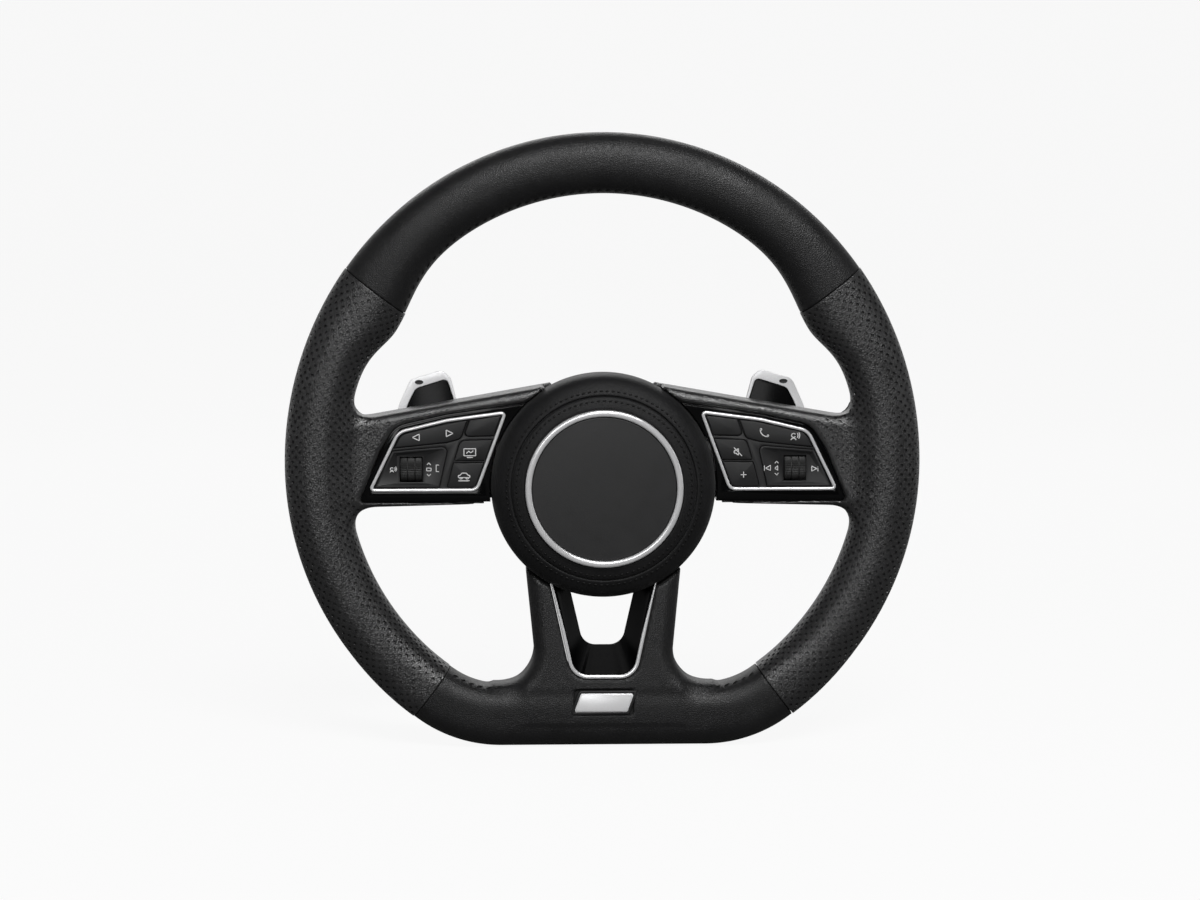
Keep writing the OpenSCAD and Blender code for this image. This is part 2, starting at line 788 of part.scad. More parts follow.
module key_housing() {
    color([0.05, 0.05, 0.05]) difference() {
        slab(key_floor, spoke_front - 1.4) frame_outline(frame_w + fine);
        for (z = [rocker_zone, blank_zone, middle_zone, lower_zone, tilt_zone])
            slab(key_back, cut_front) zone(z, 0);
        slab(key_floor - 1, cut_front) roller_slot();
    }
}
module key_board() {
    color("darkgreen") slab(key_floor - board_t, key_floor) difference() {
        frame_outline(frame_w + 2);
        roller_slot();
    }
}
// A key with a softened front edge, and a stem towards its switch
module key(pts, stem) {
    color([0.07, 0.07, 0.07]) {
        slab(key_front - 4, key_front - 0.4) zone(pts, key_gap);
        slab(key_front - 0.4, key_front) zone(pts, key_gap + 0.4);
        slab(key_back + key_travel + 0.2, key_front - 3.9) translate(stem) square([5, 5], center = true);
    }
}
module blank_key() {
    key(blank_zone, [68, 22]);
}
module middle_key() {
    key(middle_zone, [76, 8.5]);
}
module lower_key() {
    key(lower_zone, [80, -7]);
}
module rocker() {
    key(rocker_zone, [rocker_x, rocker_z]);
    color([0.07, 0.07, 0.07]) translate([rocker_x, -key_pivot, rocker_z])
        cylinder(r = bead_r, h = 5, center = true, $fn = 32);
}
module tilt_plate() {
    color([0.06, 0.06, 0.06]) difference() {
        union() {
            difference() {
                slab(roller_f + 1.2, key_front) zone(tilt_zone, key_gap);
                hull() {
                    slab(key_front, key_front + 0.1) zone(tilt_zone, key_gap + 1);
                    slab(key_front - dish, key_front - dish + 0.1)
                        translate([roller_x, roller_z]) square([roller_w + 4, 16], center = true);
                }
            }
            for (s = [-1, 1]) slab(roller_f - 3, roller_f + 2)
                translate([roller_x + s * (roller_w / 2 + 1.6), roller_z]) square([2, 7], center = true);
            for (s = [-1, 1]) translate([0, 0, s * (roller_r + 2)]) {
                slab(key_pivot, roller_f + 2) translate([roller_x, roller_z])
                    square([2 * bead_r, 2], center = true);
                translate([roller_x, -key_pivot, roller_z])
                    cylinder(r = bead_r, h = 2, center = true, $fn = 32);
            }
        }
        cut() translate([roller_x, roller_z]) square([roller_w + 0.8, 2 * roller_r + 0.6], center = true);
        translate([roller_x - 12, -roller_f, roller_z]) rotate([0, 90, 0])
            cylinder(d = 3, h = 24, $fn = 48);
    }
}
module roller() {
    color([0.03, 0.03, 0.03]) translate([roller_x, -roller_f, roller_z]) rotate([0, 90, 0]) {
        cylinder(r = roller_r, h = roller_w, center = true, $fn = 96);
        cylinder(d = 3 - 2 * running, h = roller_w + 5, center = true, $fn = 48);
    }
}

// Back of the side spoke, with the lugs that hold the paddle's pin
module back_cover() {
    color([0.08, 0.08, 0.08]) difference() {
        union() {
            difference() {
                slab(spoke_back_f, parting - 0.3) bezel_outline();
                slab(spoke_back_f + back_wall, cut_front) offset(delta = -back_wall) bezel_outline();
                side_arm(arm_gap);
                slab(arm_back - arm_gap, cut_front) translate([110, arm_z - arm_w / 2 - arm_gap])
                    square([40, arm_w + 2 * arm_gap]);
            }
            for (z = [barrel_z0 - lug_t - 0.3, barrel_z1 + 0.3])
                slab(pin_f - 4, spoke_back_f + 0.5) translate([pin_x - 4, z]) square([8, lug_t]);
        }
        cap_clearance();
        translate([pin_x, -pin_f, -30]) cylinder(d = pin_d + 0.02, h = 60, $fn = 48);
    }
}
module blade_outline() {
    polygon(rounded(blade_pts));
}
module paddle() {
    color("silver") difference() {
        union() {
            slab(blade_f, blade_f + blade_t) blade_outline();
            translate([pin_x, -pin_f, barrel_z0]) cylinder(r = barrel_r, h = barrel_z1 - barrel_z0, $fn = 64);
        }
        slab(blade_f + blade_t - 1, cut_front) polygon(rounded(face_pts));
        translate([pin_x, -pin_f, -30]) cylinder(d = pin_d + 2 * running, h = 60, $fn = 48);
    }
}
module paddle_face() {
    color([0.02, 0.02, 0.02]) slab(blade_f + blade_t - 1, blade_f + blade_t + 0.3)
        offset(delta = -fine) polygon(rounded(face_pts));
}
module paddle_pin() {
    color("silver") translate([pin_x, -pin_f, barrel_z0 - lug_t - 0.3])
        cylinder(d = pin_d, h = barrel_z1 - barrel_z0 + 2 * lug_t + 0.6, $fn = 48);
}
module paddle_switch() {
    color([0.05, 0.05, 0.05]) {
        slab(spoke_back_f - 2, spoke_back_f) translate([88, -4]) square([12, 6]);
        slab(spoke_back_f - 2.6, spoke_back_f - 1.9) translate([94, -1]) circle(r = 1.2, $fn = 32);
    }
}
module paddle_spring() {
    color("lightgray") coil(82, 6, 2.2, 0.4, blade_f + blade_t + 0.35, spoke_back_f - 0.05, 3);
}

armature();
rim_foam();
leather_top();
leather_left();
leather_right();
leather_bottom();
rear_cover();
rear_cover_screws();
airbag_cover();
cover_front_leather();
cover_side_leather();
cover_disc();
cover_ring();
airbag_cushion();
airbag_pan();
inflator();
guide_bolts();
horn_springs();
lower_bezel();
lower_trim();
badge_frame();
badge_plate();
left_side() bezel();  // left_bezel
left_side() frame();  // left_frame
left_side() key_housing();  // left_key_housing
left_side() key_board();  // left_key_board
left_side() back_cover();  // left_back_cover
left_side() rocker();  // left_rocker
left_side() blank_key();  // left_blank_key
left_side() middle_key();  // left_middle_key
left_side() lower_key();  // left_lower_key
left_side() tilt_plate();  // left_tilt_plate
left_side() roller();  // left_roller
left_side() paddle();  // left_paddle
left_side() paddle_face();  // left_paddle_face
left_side() paddle_pin();  // left_paddle_pin
left_side() paddle_switch();  // left_paddle_switch
left_side() paddle_spring();  // left_paddle_spring
bezel();  // right_bezel
frame();  // right_frame
key_housing();  // right_key_housing
key_board();  // right_key_board
back_cover();  // right_back_cover
rocker();  // right_rocker
blank_key();  // right_blank_key
middle_key();  // right_middle_key
lower_key();  // right_lower_key
tilt_plate();  // right_tilt_plate
roller();  // right_roller
paddle();  // right_paddle
paddle_face();  // right_paddle_face
paddle_pin();  // right_paddle_pin
paddle_switch();  // right_paddle_switch
paddle_spring();  // right_paddle_spring
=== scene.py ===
import json
import math
from contextlib import contextmanager
from functools import partial

import bmesh
import bpy
import numpy as np
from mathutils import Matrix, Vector
from mathutils.bvhtree import BVHTree

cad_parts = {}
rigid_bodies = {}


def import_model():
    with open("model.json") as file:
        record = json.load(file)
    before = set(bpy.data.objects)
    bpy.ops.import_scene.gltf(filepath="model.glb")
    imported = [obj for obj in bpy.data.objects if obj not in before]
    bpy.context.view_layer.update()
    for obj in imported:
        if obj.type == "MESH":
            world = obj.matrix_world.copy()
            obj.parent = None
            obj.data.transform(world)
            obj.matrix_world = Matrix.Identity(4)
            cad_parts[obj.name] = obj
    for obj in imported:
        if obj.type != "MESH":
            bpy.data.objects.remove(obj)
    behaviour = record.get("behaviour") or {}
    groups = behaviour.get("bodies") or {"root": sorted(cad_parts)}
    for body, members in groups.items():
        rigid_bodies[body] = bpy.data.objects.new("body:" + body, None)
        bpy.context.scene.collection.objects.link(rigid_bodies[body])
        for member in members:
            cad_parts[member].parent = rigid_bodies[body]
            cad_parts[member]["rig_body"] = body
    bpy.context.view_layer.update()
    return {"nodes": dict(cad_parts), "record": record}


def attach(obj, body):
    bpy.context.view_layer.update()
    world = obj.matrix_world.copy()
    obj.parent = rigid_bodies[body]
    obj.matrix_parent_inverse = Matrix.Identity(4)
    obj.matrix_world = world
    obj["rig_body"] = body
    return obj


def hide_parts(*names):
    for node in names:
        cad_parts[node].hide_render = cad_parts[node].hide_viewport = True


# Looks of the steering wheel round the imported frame. Shapes are worked out in mm, as in the
# part's source: x to the right, z up, and the depth f in front of the hub's back face, so y = -f.
MM = 0.001

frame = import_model()
scene = bpy.context.scene
nodes = frame["nodes"]
slot_of = {s["node"]: s["material_slot"] for s in frame["record"]["subparts"]}

# Sizes in mm and degrees, most of them the source's
RIM_R, RIM_RISE, FLAT_DROP, CORNER_R = 185.0, 192.5, 165.8, 82.0
GRIP_T, GRIP_D, DISH = 35.6, 35.0, 58.0
THUMB_H, THUMB_A, THUMB_LOW, THUMB_UP = 8.6, 33.5, 8.0, 12.5
SEAM_UP, SEAM_LOW, SEAM_GAP = 37.5, 53.0, 0.84
HUB_DROP, CAP_R, CAP_FACE, CAP_BASE, CAP_BACK, CAP_N = 12.5, 65.5, 81.5, 56.0, 50.0, 3.9
RING_R, RING_W, GROOVE_R = 45.7, 3.7, 53.6
SPOKE_FRONT, SPOKE_BACK = 67.0, 38.0
SPOKE_TOP, SPOKE_TOP_X, SPOKE_TOP_FALL = 42.2, 53.0, 0.175
SPOKE_LOW, SPOKE_LOW_X, SPOKE_LOW_FALL = -22.5, 50.0, 0.023
KEY_FRONT, FRAME_FRONT = 66.6, 67.4
FUNNEL_FRONT, FUNNEL_Z, FUNNEL_TILT = 71.0, -95.0, 4.5
FUNNEL_TOP_W, FUNNEL_LOW_W, FUNNEL_TOP, FUNNEL_END, FUNNEL_R = 33.7, 21.0, -56.0, -124.7, 12.0
BADGE_Z, BADGE_F, BADGE_L, BADGE_H, BADGE_ROOM = -138.4, 73.0, 31.0, 11.0, 1.7
HORN_ROOM, HUB_HOLE, HUB_MOUTH = 3.0, 62.8, 66.4
SOCKET_X, SOCKET_Z = 107.5, 45.6
LOW_WAIST, FLARE_R, FLARE_Z, LOW_DEPTH, LOW_HALF = 40.9, 22.0, 108.2, 53.0, 15.0
ROLLER_X, ROLLER_Z, ROLLER_F, ROLLER_R = 111.6, -2.4, 60.6, 7.2
PIN_X, PIN_L, PIN_R = 7.35, 2.4, 1.36
PITCH, HOLE_R, MOUTH_R, FRONT_ROWS, BACK_ROWS = 2.72, 0.86, 1.16, 26, 52
WALL_X = RIM_R - GRIP_T - 4
CORNER_Z = FLAT_DROP - CORNER_R
CORNER_X = math.sqrt((RIM_R - CORNER_R) ** 2 - CORNER_Z**2)
BEZEL_PTS = [
    (142, -21.3, 2), (44, -21.3, 0), (44, 36.2, 0), (91, 29.6, 60), (120.5, 23, 14), (129.5, 8.5, 20),
]


# Camera at the photograph's viewing angle

def place_camera():
    data = bpy.data.cameras.new("camera")
    data.sensor_width = 36
    data.lens = 92.6
    data.clip_end = 50
    camera = bpy.data.objects.new("camera", data)
    scene.collection.objects.link(camera)
    target = Vector((-0.0018, -0.058, 0.0078))
    azimuth, elevation, distance = math.radians(-2), math.radians(6.4), 1.8
    camera.location = target + distance * Vector((
        math.cos(elevation) * math.sin(azimuth),
        -math.cos(elevation) * math.cos(azimuth),
        math.sin(elevation),
    ))
    camera.rotation_euler = (target - camera.location).to_track_quat("-Z", "Y").to_euler()
    scene.camera = camera


place_camera()


# Rim outline, by angle from +X in radians

def upper_half(e):
    return 1 / np.sqrt((np.cos(e) / RIM_R) ** 2 + (np.sin(e) / RIM_RISE) ** 2)


def thumb_rest(e):
    d = np.degrees(e) - THUMB_A
    return THUMB_H * np.exp(-((d / np.where(d < 0, THUMB_LOW, THUMB_UP)) ** 2))


def lower_half(e, g):
    psi = math.pi / 2 + e
    d = CORNER_X * np.sin(psi) + CORNER_Z * np.cos(psi)
    under = d * d - CORNER_X**2 - CORNER_Z**2 + (CORNER_R - g) ** 2
    corner = d + np.sqrt(np.maximum(under, 0))
    flat = (FLAT_DROP - g) / np.maximum(np.cos(psi), 0.05)
    out = np.where(psi <= math.atan(CORNER_X / (FLAT_DROP - g)), flat, corner)
    return np.where(psi >= math.atan2(CORNER_X, CORNER_Z), RIM_R - g, out)


def rim_edges(a):
    """Outer and inner radius of the rim at an angle."""
    e = np.arcsin(np.clip(np.sin(a), -1, 1))
    outer = np.where(e >= 0, upper_half(e), lower_half(e, 0.0))
    inner_up = RIM_R - GRIP_T + (RIM_RISE - RIM_R) * np.sin(e) ** 2 - thumb_rest(e)
    inner = np.where(e >= 0, inner_up, lower_half(e, GRIP_T))
    return outer, inner


# Distance fields of the padded forms: negative inside, in mm

def smooth_union(a, b, k):
    h = np.maximum(k - np.abs(a - b), 0) / k
    return np.minimum(a, b) - h * h * k / 4


def smooth_cut(a, b, k):
    return -smooth_union(-a, b, k)


def rounded_box(du, dv, r):
    du, dv = du + r, dv + r
    return np.hypot(np.maximum(du, 0), np.maximum(dv, 0)) + np.minimum(np.maximum(du, dv), 0) - r


def rim_field(x, y, z):
    outer, inner = rim_edges(np.arctan2(z, x))
    h, d = (outer - inner) / 2, GRIP_D / 2
    n = 2.25 + 0.9 * np.clip((-z - 110) / 30, 0, 1)
    u = np.abs(np.hypot(x, z) - (outer + inner) / 2) / h
    v = np.abs(y + DISH) / d
    q = np.maximum((u**n + v**n) ** (1 / n), 1e-3)
    slope = np.hypot((u / q) ** (n - 1) / h, (v / q) ** (n - 1) / d)
    return (q - 1) / slope


def side_share(du, dv):
    """1 next to a spoke's side walls, 0 next to its front and back."""
    w = np.clip((du - dv) / 10 + 0.5, 0, 1)
    return w * w * (3 - 2 * w)


def spoke_field(x, y, z):
    """Side spoke's field, and the reach of its fillet towards the rim."""
    ax = np.abs(x)
    top = SPOKE_TOP - SPOKE_TOP_FALL * (ax - SPOKE_TOP_X)
    low = SPOKE_LOW - SPOKE_LOW_FALL * (ax - SPOKE_LOW_X)
    du = np.abs(z - (top + low) / 2) - (top - low) / 2
    dv = np.abs(y + (SPOKE_FRONT + SPOKE_BACK) / 2) - (SPOKE_FRONT - SPOKE_BACK) / 2
    body = np.maximum(np.maximum(rounded_box(du, dv, 5), 30 - ax), ax - WALL_X - 10)
    return body, 10 + 6 * side_share(du, dv)


def low_spoke_field(x, y, z):
    """Lower spoke's field, and the reach of its fillet towards the rim."""
    k = np.clip((-60 - z) / 70, 0, 1)
    ax, above = np.abs(x), z + FLARE_Z
    inside = np.hypot(np.minimum(ax - LOW_WAIST - FLARE_R, 0), np.minimum(above, 0))
    du = FLARE_R - inside - 0.1 * np.maximum(above, 0)
    depth = LOW_DEPTH + (DISH - LOW_DEPTH) * k
    half = LOW_HALF + (GRIP_D / 2 - 0.7 - LOW_HALF) * k - 0.25 * np.maximum(ax - 45, 0)
    dv = np.abs(y + depth) - half
    body = np.maximum(rounded_box(du, dv, 9), np.maximum(z + 50, -z - 150))
    return np.maximum(body, ax - LOW_WAIST - FLARE_R), 3 + 4 * side_share(du, dv)


def polygon_field(points, px, pz):
    """Signed distance to a closed outline in x and z."""
    best = np.full(px.shape, 1e9)
    side = np.ones(px.shape)
    for (ax, az), (bx, bz) in zip(points, points[1:] + points[:1]):
        ex, ez = bx - ax, bz - az
        wx, wz = px - ax, pz - az
        t = np.clip((wx * ex + wz * ez) / (ex * ex + ez * ez), 0, 1)
        best = np.minimum(best, (wx - ex * t) ** 2 + (wz - ez * t) ** 2)
        above, below = pz >= az, pz < bz
        left = ex * wz > ez * wx
        crossed = (above & below & left) | (~above & ~below & ~left)
        side = np.where(crossed, -side, side)
    return side * np.sqrt(best)


def rounded(points, k=6):
    """Outline of corners (x, z, radius) with each corner turned into an arc."""
    out = []
    n = len(points)
    for i, (bx, bz, r) in enumerate(points):
        if r == 0:
            out.append((bx, bz))
            continue
        v = np.array([bx, bz], float)
        d1 = np.array(points[i - 1][:2], float) - v
        d2 = np.array(points[(i + 1) % n][:2], float) - v
        d1, d2 = d1 / np.linalg.norm(d1), d2 / np.linalg.norm(d2)
        half = math.acos(np.clip(d1 @ d2, -1, 1)) / 2
        middle = (d1 + d2) / np.linalg.norm(d1 + d2)
        c = v + middle * r / math.sin(half)
        s, e = v + d1 * r / math.tan(half) - c, v + d2 * r / math.tan(half) - c
        a1 = math.atan2(s[1], s[0])
        turn = (math.atan2(e[1], e[0]) - a1 + math.pi) % (2 * math.pi) - math.pi
        for j in range(k + 1):
            a = a1 + turn * j / k
            out.append((c[0] + r * math.cos(a), c[1] + r * math.sin(a)))
    return out


def funnel_outline(k=12):
    """U shape, wide at the top, with round lower corners."""
    side = math.atan((FUNNEL_TOP_W - FUNNEL_LOW_W) / (FUNNEL_TOP - FUNNEL_END))
    cx, cz = FUNNEL_LOW_W - FUNNEL_R, FUNNEL_END + FUNNEL_R
    right = [(FUNNEL_TOP_W, FUNNEL_TOP)]
    for j in range(k + 1):
        a = -side - (math.pi / 2 - side) * j / k
        right.append((cx + FUNNEL_R * math.cos(a), cz + FUNNEL_R * math.sin(a)))
    return right + [(-x, z) for x, z in reversed(right)]


BEZEL = rounded(BEZEL_PTS)
FUNNEL = funnel_outline()


def bezel_field(x, z):
    """Distance to the key packs' opening; far from it any large value does."""
    out = np.full(x.shape, 60.0)
    near = (np.abs(x) > 34) & (np.abs(x) < 152) & (z > -32) & (z < 46)
    out[near] = polygon_field(BEZEL, np.abs(x[near]), z[near])
    return out


def funnel_field(x, y, z):
    """Distance to the lower opening, whose outline leans with depth."""
    out = np.full(x.shape, 60.0)
    near = (np.abs(x) < 46) & (z < -50) & (z > -136)
    lean = math.tan(math.radians(FUNNEL_TILT)) * (-y[near] - FUNNEL_FRONT)
    out[near] = polygon_field(FUNNEL, x[near], z[near] - lean)
    return out


def leather_field(x, y, z):
    """The whole padded form, with the leather turned in round each opening."""
    d = smooth_union(rim_field(x, y, z), *spoke_field(x, y, z))
    d = smooth_union(d, *low_spoke_field(x, y, z))
    hub = np.hypot(x, z + HUB_DROP) - np.where(y > HORN_ROOM - CAP_BACK, HUB_HOLE, HUB_MOUTH)
    d = smooth_cut(d, hub, 1.6)
    d = smooth_cut(d, bezel_field(x, z) - 0.3, 2.2)
    d = smooth_cut(d, funnel_field(x, y, z) - 0.3, 1.8)
    half_l, half_h = BADGE_L / 2 + BADGE_ROOM, BADGE_H / 2 + BADGE_ROOM
    badge = rounded_box(np.abs(x) - half_l, np.abs(z - BADGE_Z) - half_h, 1.5)
    badge = np.maximum(badge, BADGE_F - 0.2 + y)
    return smooth_cut(d, badge, 0.8)


def slope_of(field, p, e=0.02):
    """Gradient of a field at the rows of p."""
    out = np.empty_like(p)
    for i in range(3):
        step = np.zeros(3)
        step[i] = e
        a, b = p + step, p - step
        out[:, i] = (field(*a.T) - field(*b.T)) / (2 * e)
    return out


def onto(field, p, rounds=2):
    """Points moved onto the zero surface of a field."""
    for _ in range(rounds):
        g = slope_of(field, p)
        move = field(*p.T) / np.maximum((g * g).sum(1), 0.2)
        p = p - np.clip(move, -1, 1)[:, None] * g
    return p


def without_pinches(value):
    """Grid values with the outside filled in where two inside corners touch only across an edge."""
    for _ in range(3):
        for axis in range(3):
            v = np.moveaxis(value, axis, 2)
            a, b, c, d = v[:-1, :-1], v[1:, :-1], v[:-1, 1:], v[1:, 1:]
            falling = (a < 0) & (d < 0) & (b >= 0) & (c >= 0)
            b[falling] = -0.05
            rising = (b < 0) & (c < 0) & (a >= 0) & (d >= 0)
            a[rising] = -0.05
    return value


def surface_net(field, low, high, step):
    """Quads over the zero surface of a field, one point for each cell that the surface crosses."""
    axes = [np.arange(a, b + step, step) for a, b in zip(low, high)]
    value = without_pinches(field(*np.meshgrid(*axes, indexing="ij")))
    inside = value < 0
    shape = np.array(value.shape)
    corner = [(i, j, k) for i in (0, 1) for j in (0, 1) for k in (0, 1)]
    count = sum(
        inside[i:shape[0] - 1 + i, j:shape[1] - 1 + j, k:shape[2] - 1 + k].astype(np.int8)
        for i, j, k in corner
    )
    cell = np.argwhere((count > 0) & (count < 8))
    number = np.full(shape - 1, -1)
    number[tuple(cell.T)] = np.arange(len(cell))
    total, hits = np.zeros((len(cell), 3)), np.zeros(len(cell))
    for c in corner:
        for axis in range(3):
            if c[axis]:
                continue
            other = np.array(c)
            other[axis] = 1
            va = value[tuple((cell + c).T)]
            vb = value[tuple((cell + other).T)]
            cross = (va < 0) != (vb < 0)
            place = np.array(c, float) + np.zeros((len(cell), 3))
            place[:, axis] = np.where(cross, va / np.where(cross, va - vb, 1), 0)
            total += place * cross[:, None]
            hits += cross
    points = np.array(low) + step * (cell + total / hits[:, None])
    quads = []
    for axis in range(3):
        u, v = (axis + 1) % 3, (axis + 2) % 3
        a = np.moveaxis(inside, (axis, u, v), (0, 1, 2))
        n = np.moveaxis(number, (axis, u, v), (0, 1, 2))
        edge = np.argwhere(a[:-1, 1:-1, 1:-1] != a[1:, 1:-1, 1:-1]) + (0, 1, 1)
        i, j, k = edge.T
        quad = np.stack([n[i, j - 1, k - 1], n[i, j, k - 1], n[i, j, k], n[i, j - 1, k]], 1)
        away = a[i, j, k]
        quads.append(np.where(away[:, None], quad, quad[:, ::-1]))
    return points, np.concatenate(quads)


def relaxed(points, quads, field, rounds=4):
    """Evens out the spacing of a net's points and keeps them on the surface."""
    a, b = quads.ravel(), np.roll(quads, -1, axis=1).ravel()
    ends, starts = np.concatenate([a, b]), np.concatenate([b, a])
    degree = np.bincount(ends, minlength=len(points))[:, None]
    for _ in range(rounds):
        total = np.stack([np.bincount(ends, points[starts, i], len(points)) for i in range(3)], 1)
        points = onto(field, points + 0.5 * (total / degree - points), 1)
    return onto(field, points, 2)


# Node trees and materials

def add_node(tree, kind, inputs=(), **settings):
    """A new node: an input is linked where a socket is given for it, and set where a value is."""
    n = tree.nodes.new(kind)
    for key, value in settings.items():
        setattr(n, key, value)
    for key, value in dict(inputs).items():
        if isinstance(value, bpy.types.NodeSocket):
            tree.links.new(value, n.inputs[key])
        else:
            n.inputs[key].default_value = value
    return n


def material(name, color, rough, metallic=0.0, specular=0.5, sheen=0.0):
    m = bpy.data.materials.new(name)
    m.use_nodes = True
    shader = m.node_tree.nodes["Principled BSDF"]
    for label, value in (
        ("Base Color", (*color, 1)), ("Roughness", rough), ("Metallic", metallic),
        ("Specular IOR Level", specular), ("Sheen Weight", sheen),
    ):
        shader.inputs[label].default_value = value
    return m


class Recipe:
    """Short way to wire a material's nodes on object coordinates."""

    def __init__(self, m):
        self.node = partial(add_node, m.node_tree)
        self.link = m.node_tree.links.new
        self.shader = m.node_tree.nodes["Principled BSDF"]
        self.coords = self.node("ShaderNodeTexCoord").outputs["Object"]
        self.height = None

    def stretched(self, scale):
        return self.node("ShaderNodeMapping", {"Scale": scale, "Vector": self.coords}).outputs["Vector"]

    def noise(self, scale, detail=2.0, rough=0.5, coords=None):
        inputs = {"Scale": scale, "Detail": detail, "Roughness": rough, "Vector": coords or self.coords}
        return self.node("ShaderNodeTexNoise", inputs).outputs["Fac"]

    def cells(self, scale, feature="F1"):
        inputs = {"Scale": scale, "Vector": self.coords}
        return self.node("ShaderNodeTexVoronoi", inputs, feature=feature).outputs["Distance"]

    def ranged(self, value, low, high, out_low, out_high):
        return self.node("ShaderNodeMapRange", {
            "Value": value, "From Min": low, "From Max": high, "To Min": out_low, "To Max": out_high,
        }).outputs["Result"]

    def rough(self, value):
        self.link(value, self.shader.inputs["Roughness"])

    def tint(self, factor, dark, light):
        mix = self.node("ShaderNodeMix", {0: factor, 6: (*dark, 1), 7: (*light, 1)}, data_type="RGBA")
        self.link(mix.outputs[2], self.shader.inputs["Base Color"])

    def bump(self, value, strength, distance):
        inputs = {"Strength": strength, "Distance": distance, "Height": value}
        if self.height is not None:
            inputs["Normal"] = self.height
        self.height = self.node("ShaderNodeBump", inputs).outputs["Normal"]
        self.link(self.height, self.shader.inputs["Normal"])


def leather(name, color, rough, grain, depth, specular=0.42):
    """Fine grained leather: pebbled cells, pores, slight polish marks and a little colour change."""
    m = material(name, color, rough, specular=specular, sheen=0.06)
    r = Recipe(m)
    pebble = r.cells(grain, "DISTANCE_TO_EDGE")
    r.bump(r.ranged(pebble, 0.0, 0.28, 0.0, 1.0), 0.55, depth)
    r.bump(r.noise(grain * 2.6, 3.0, 0.6), 0.25, depth * 0.6)
    wear = r.noise(38.0, 3.0, 0.55)
    r.rough(r.ranged(wear, 0.3, 0.7, rough - 0.05, rough + 0.06))
    patches = r.ranged(r.noise(90.0, 2.0), 0.35, 0.65, 0.0, 1.0)
    r.tint(patches, [c * 0.82 for c in color], [c * 1.14 for c in color])
    return m


def moulded(name, color, rough, grain, depth):
    """Moulded plastic with a fine eroded grain."""
    m = material(name, color, rough)
    r = Recipe(m)
    r.bump(r.noise(grain, 4.0, 0.65), 0.4, depth)
    r.rough(r.ranged(r.noise(120.0, 3.0), 0.3, 0.7, rough - 0.04, rough + 0.05))
    r.tint(r.noise(60.0, 2.0), [c * 0.88 for c in color], [c * 1.1 for c in color])
    return m


def lacquer(name, color, rough, specular):
    """Black lacquer with the hairlines of a polished part."""
    m = material(name, color, rough, specular=specular)
    r = Recipe(m)
    hairlines = r.noise(900.0, 3.0, 0.7, r.stretched((1.0, 1.0, 6.0)))
    r.rough(r.ranged(hairlines, 0.4, 0.75, rough - 0.03, rough + 0.06))
    return m


def metal(name, color, rough, stretch=(1.0, 1.0, 1.0), grain=700.0, depth=0.00002, metallic=1.0):
    """Metal with fine finishing lines and slight stains."""
    m = material(name, color, rough, metallic)
    r = Recipe(m)
    lines = r.noise(grain, 3.0, 0.7, r.stretched(stretch))
    if depth:
        r.bump(lines, 0.3, depth)
    r.rough(r.ranged(lines, 0.3, 0.7, rough - 0.05, rough + 0.08))
    r.tint(r.noise(45.0, 3.0), [c * 0.9 for c in color], color)
    return m


def cast(name, color):
    """Cast metal with a coarse sandy skin."""
    m = material(name, color, 0.48, metallic=1.0)
    r = Recipe(m)
    r.bump(r.noise(420.0, 4.0, 0.7), 0.6, 0.0003)
    r.bump(r.cells(900.0), 0.3, 0.0001)
    r.rough(r.ranged(r.noise(80.0), 0.3, 0.7, 0.4, 0.6))
    return m


def woven(name, color, pitch):
    """Cloth of crossed threads."""
    m = material(name, color, 0.85, sheen=0.3)
    r = Recipe(m)
    for axis in ("X", "Z"):
        inputs = {"Scale": pitch, "Distortion": 0.4, "Vector": r.coords}
        wave = r.node("ShaderNodeTexWave", inputs, bands_direction=axis)
        r.bump(wave.outputs["Fac"], 0.4, 0.0002)
    r.tint(r.noise(120.0), [c * 0.85 for c in color], color)
    return m


def thread(name, color):
    m = material(name, color, 0.6, specular=0.25)
    r = Recipe(m)
    r.bump(r.noise(2600.0, 2.0, 0.6, r.stretched((1.0, 2.0, 1.0))), 0.7, 0.0001)
    r.rough(r.ranged(r.noise(300.0), 0.3, 0.7, 0.45, 0.65))
    return m


def printed(name, color):
    m = material(name, color, 0.45)
    r = Recipe(m)
    r.tint(r.noise(1500.0, 2.0), [c * 0.85 for c in color], color)
    r.rough(r.ranged(r.noise(700.0), 0.3, 0.7, 0.38, 0.52))
    return m


LEATHER = leather("smooth leather", (0.0075, 0.0075, 0.008), 0.42, 900.0, 0.00016)
PERFORATED = leather("perforated leather", (0.013, 0.013, 0.0135), 0.34, 700.0, 0.00018, specular=1.0)
COVER_LEATHER = leather("cover leather", (0.005, 0.005, 0.0055), 0.55, 1050.0, 0.00012, specular=0.28)
COVER_SKIN = moulded("cover skin", (0.0165, 0.0165, 0.017), 0.46, 1300.0, 0.00012)
FOAM = moulded("rim foam", (0.01, 0.01, 0.01), 0.9, 600.0, 0.0003)
MATT = moulded("matt housing plastic", (0.012, 0.012, 0.0125), 0.5, 1100.0, 0.00016)
GLOSS = lacquer("black gloss lacquer", (0.0016, 0.0016, 0.0018), 0.09, 0.25)
INSERT = lacquer("black satin insert", (0.002, 0.002, 0.0022), 0.26, 0.12)
DEEP_GLOSS = lacquer("black inner lacquer", (0.0016, 0.0016, 0.0018), 0.34, 0.005)
KEY = moulded("soft painted key", (0.009, 0.009, 0.0095), 0.48, 2200.0, 0.00005)
BRIGHT = metal("satin bright trim", (0.95, 0.95, 0.96), 0.2, (1.0, 6.0, 1.0), 2400.0, 0, 0.5)
PADDLE = metal("satin paddle", (0.96, 0.96, 0.97), 0.3, (1.0, 1.0, 5.0), 1800.0, 0, 0.2)
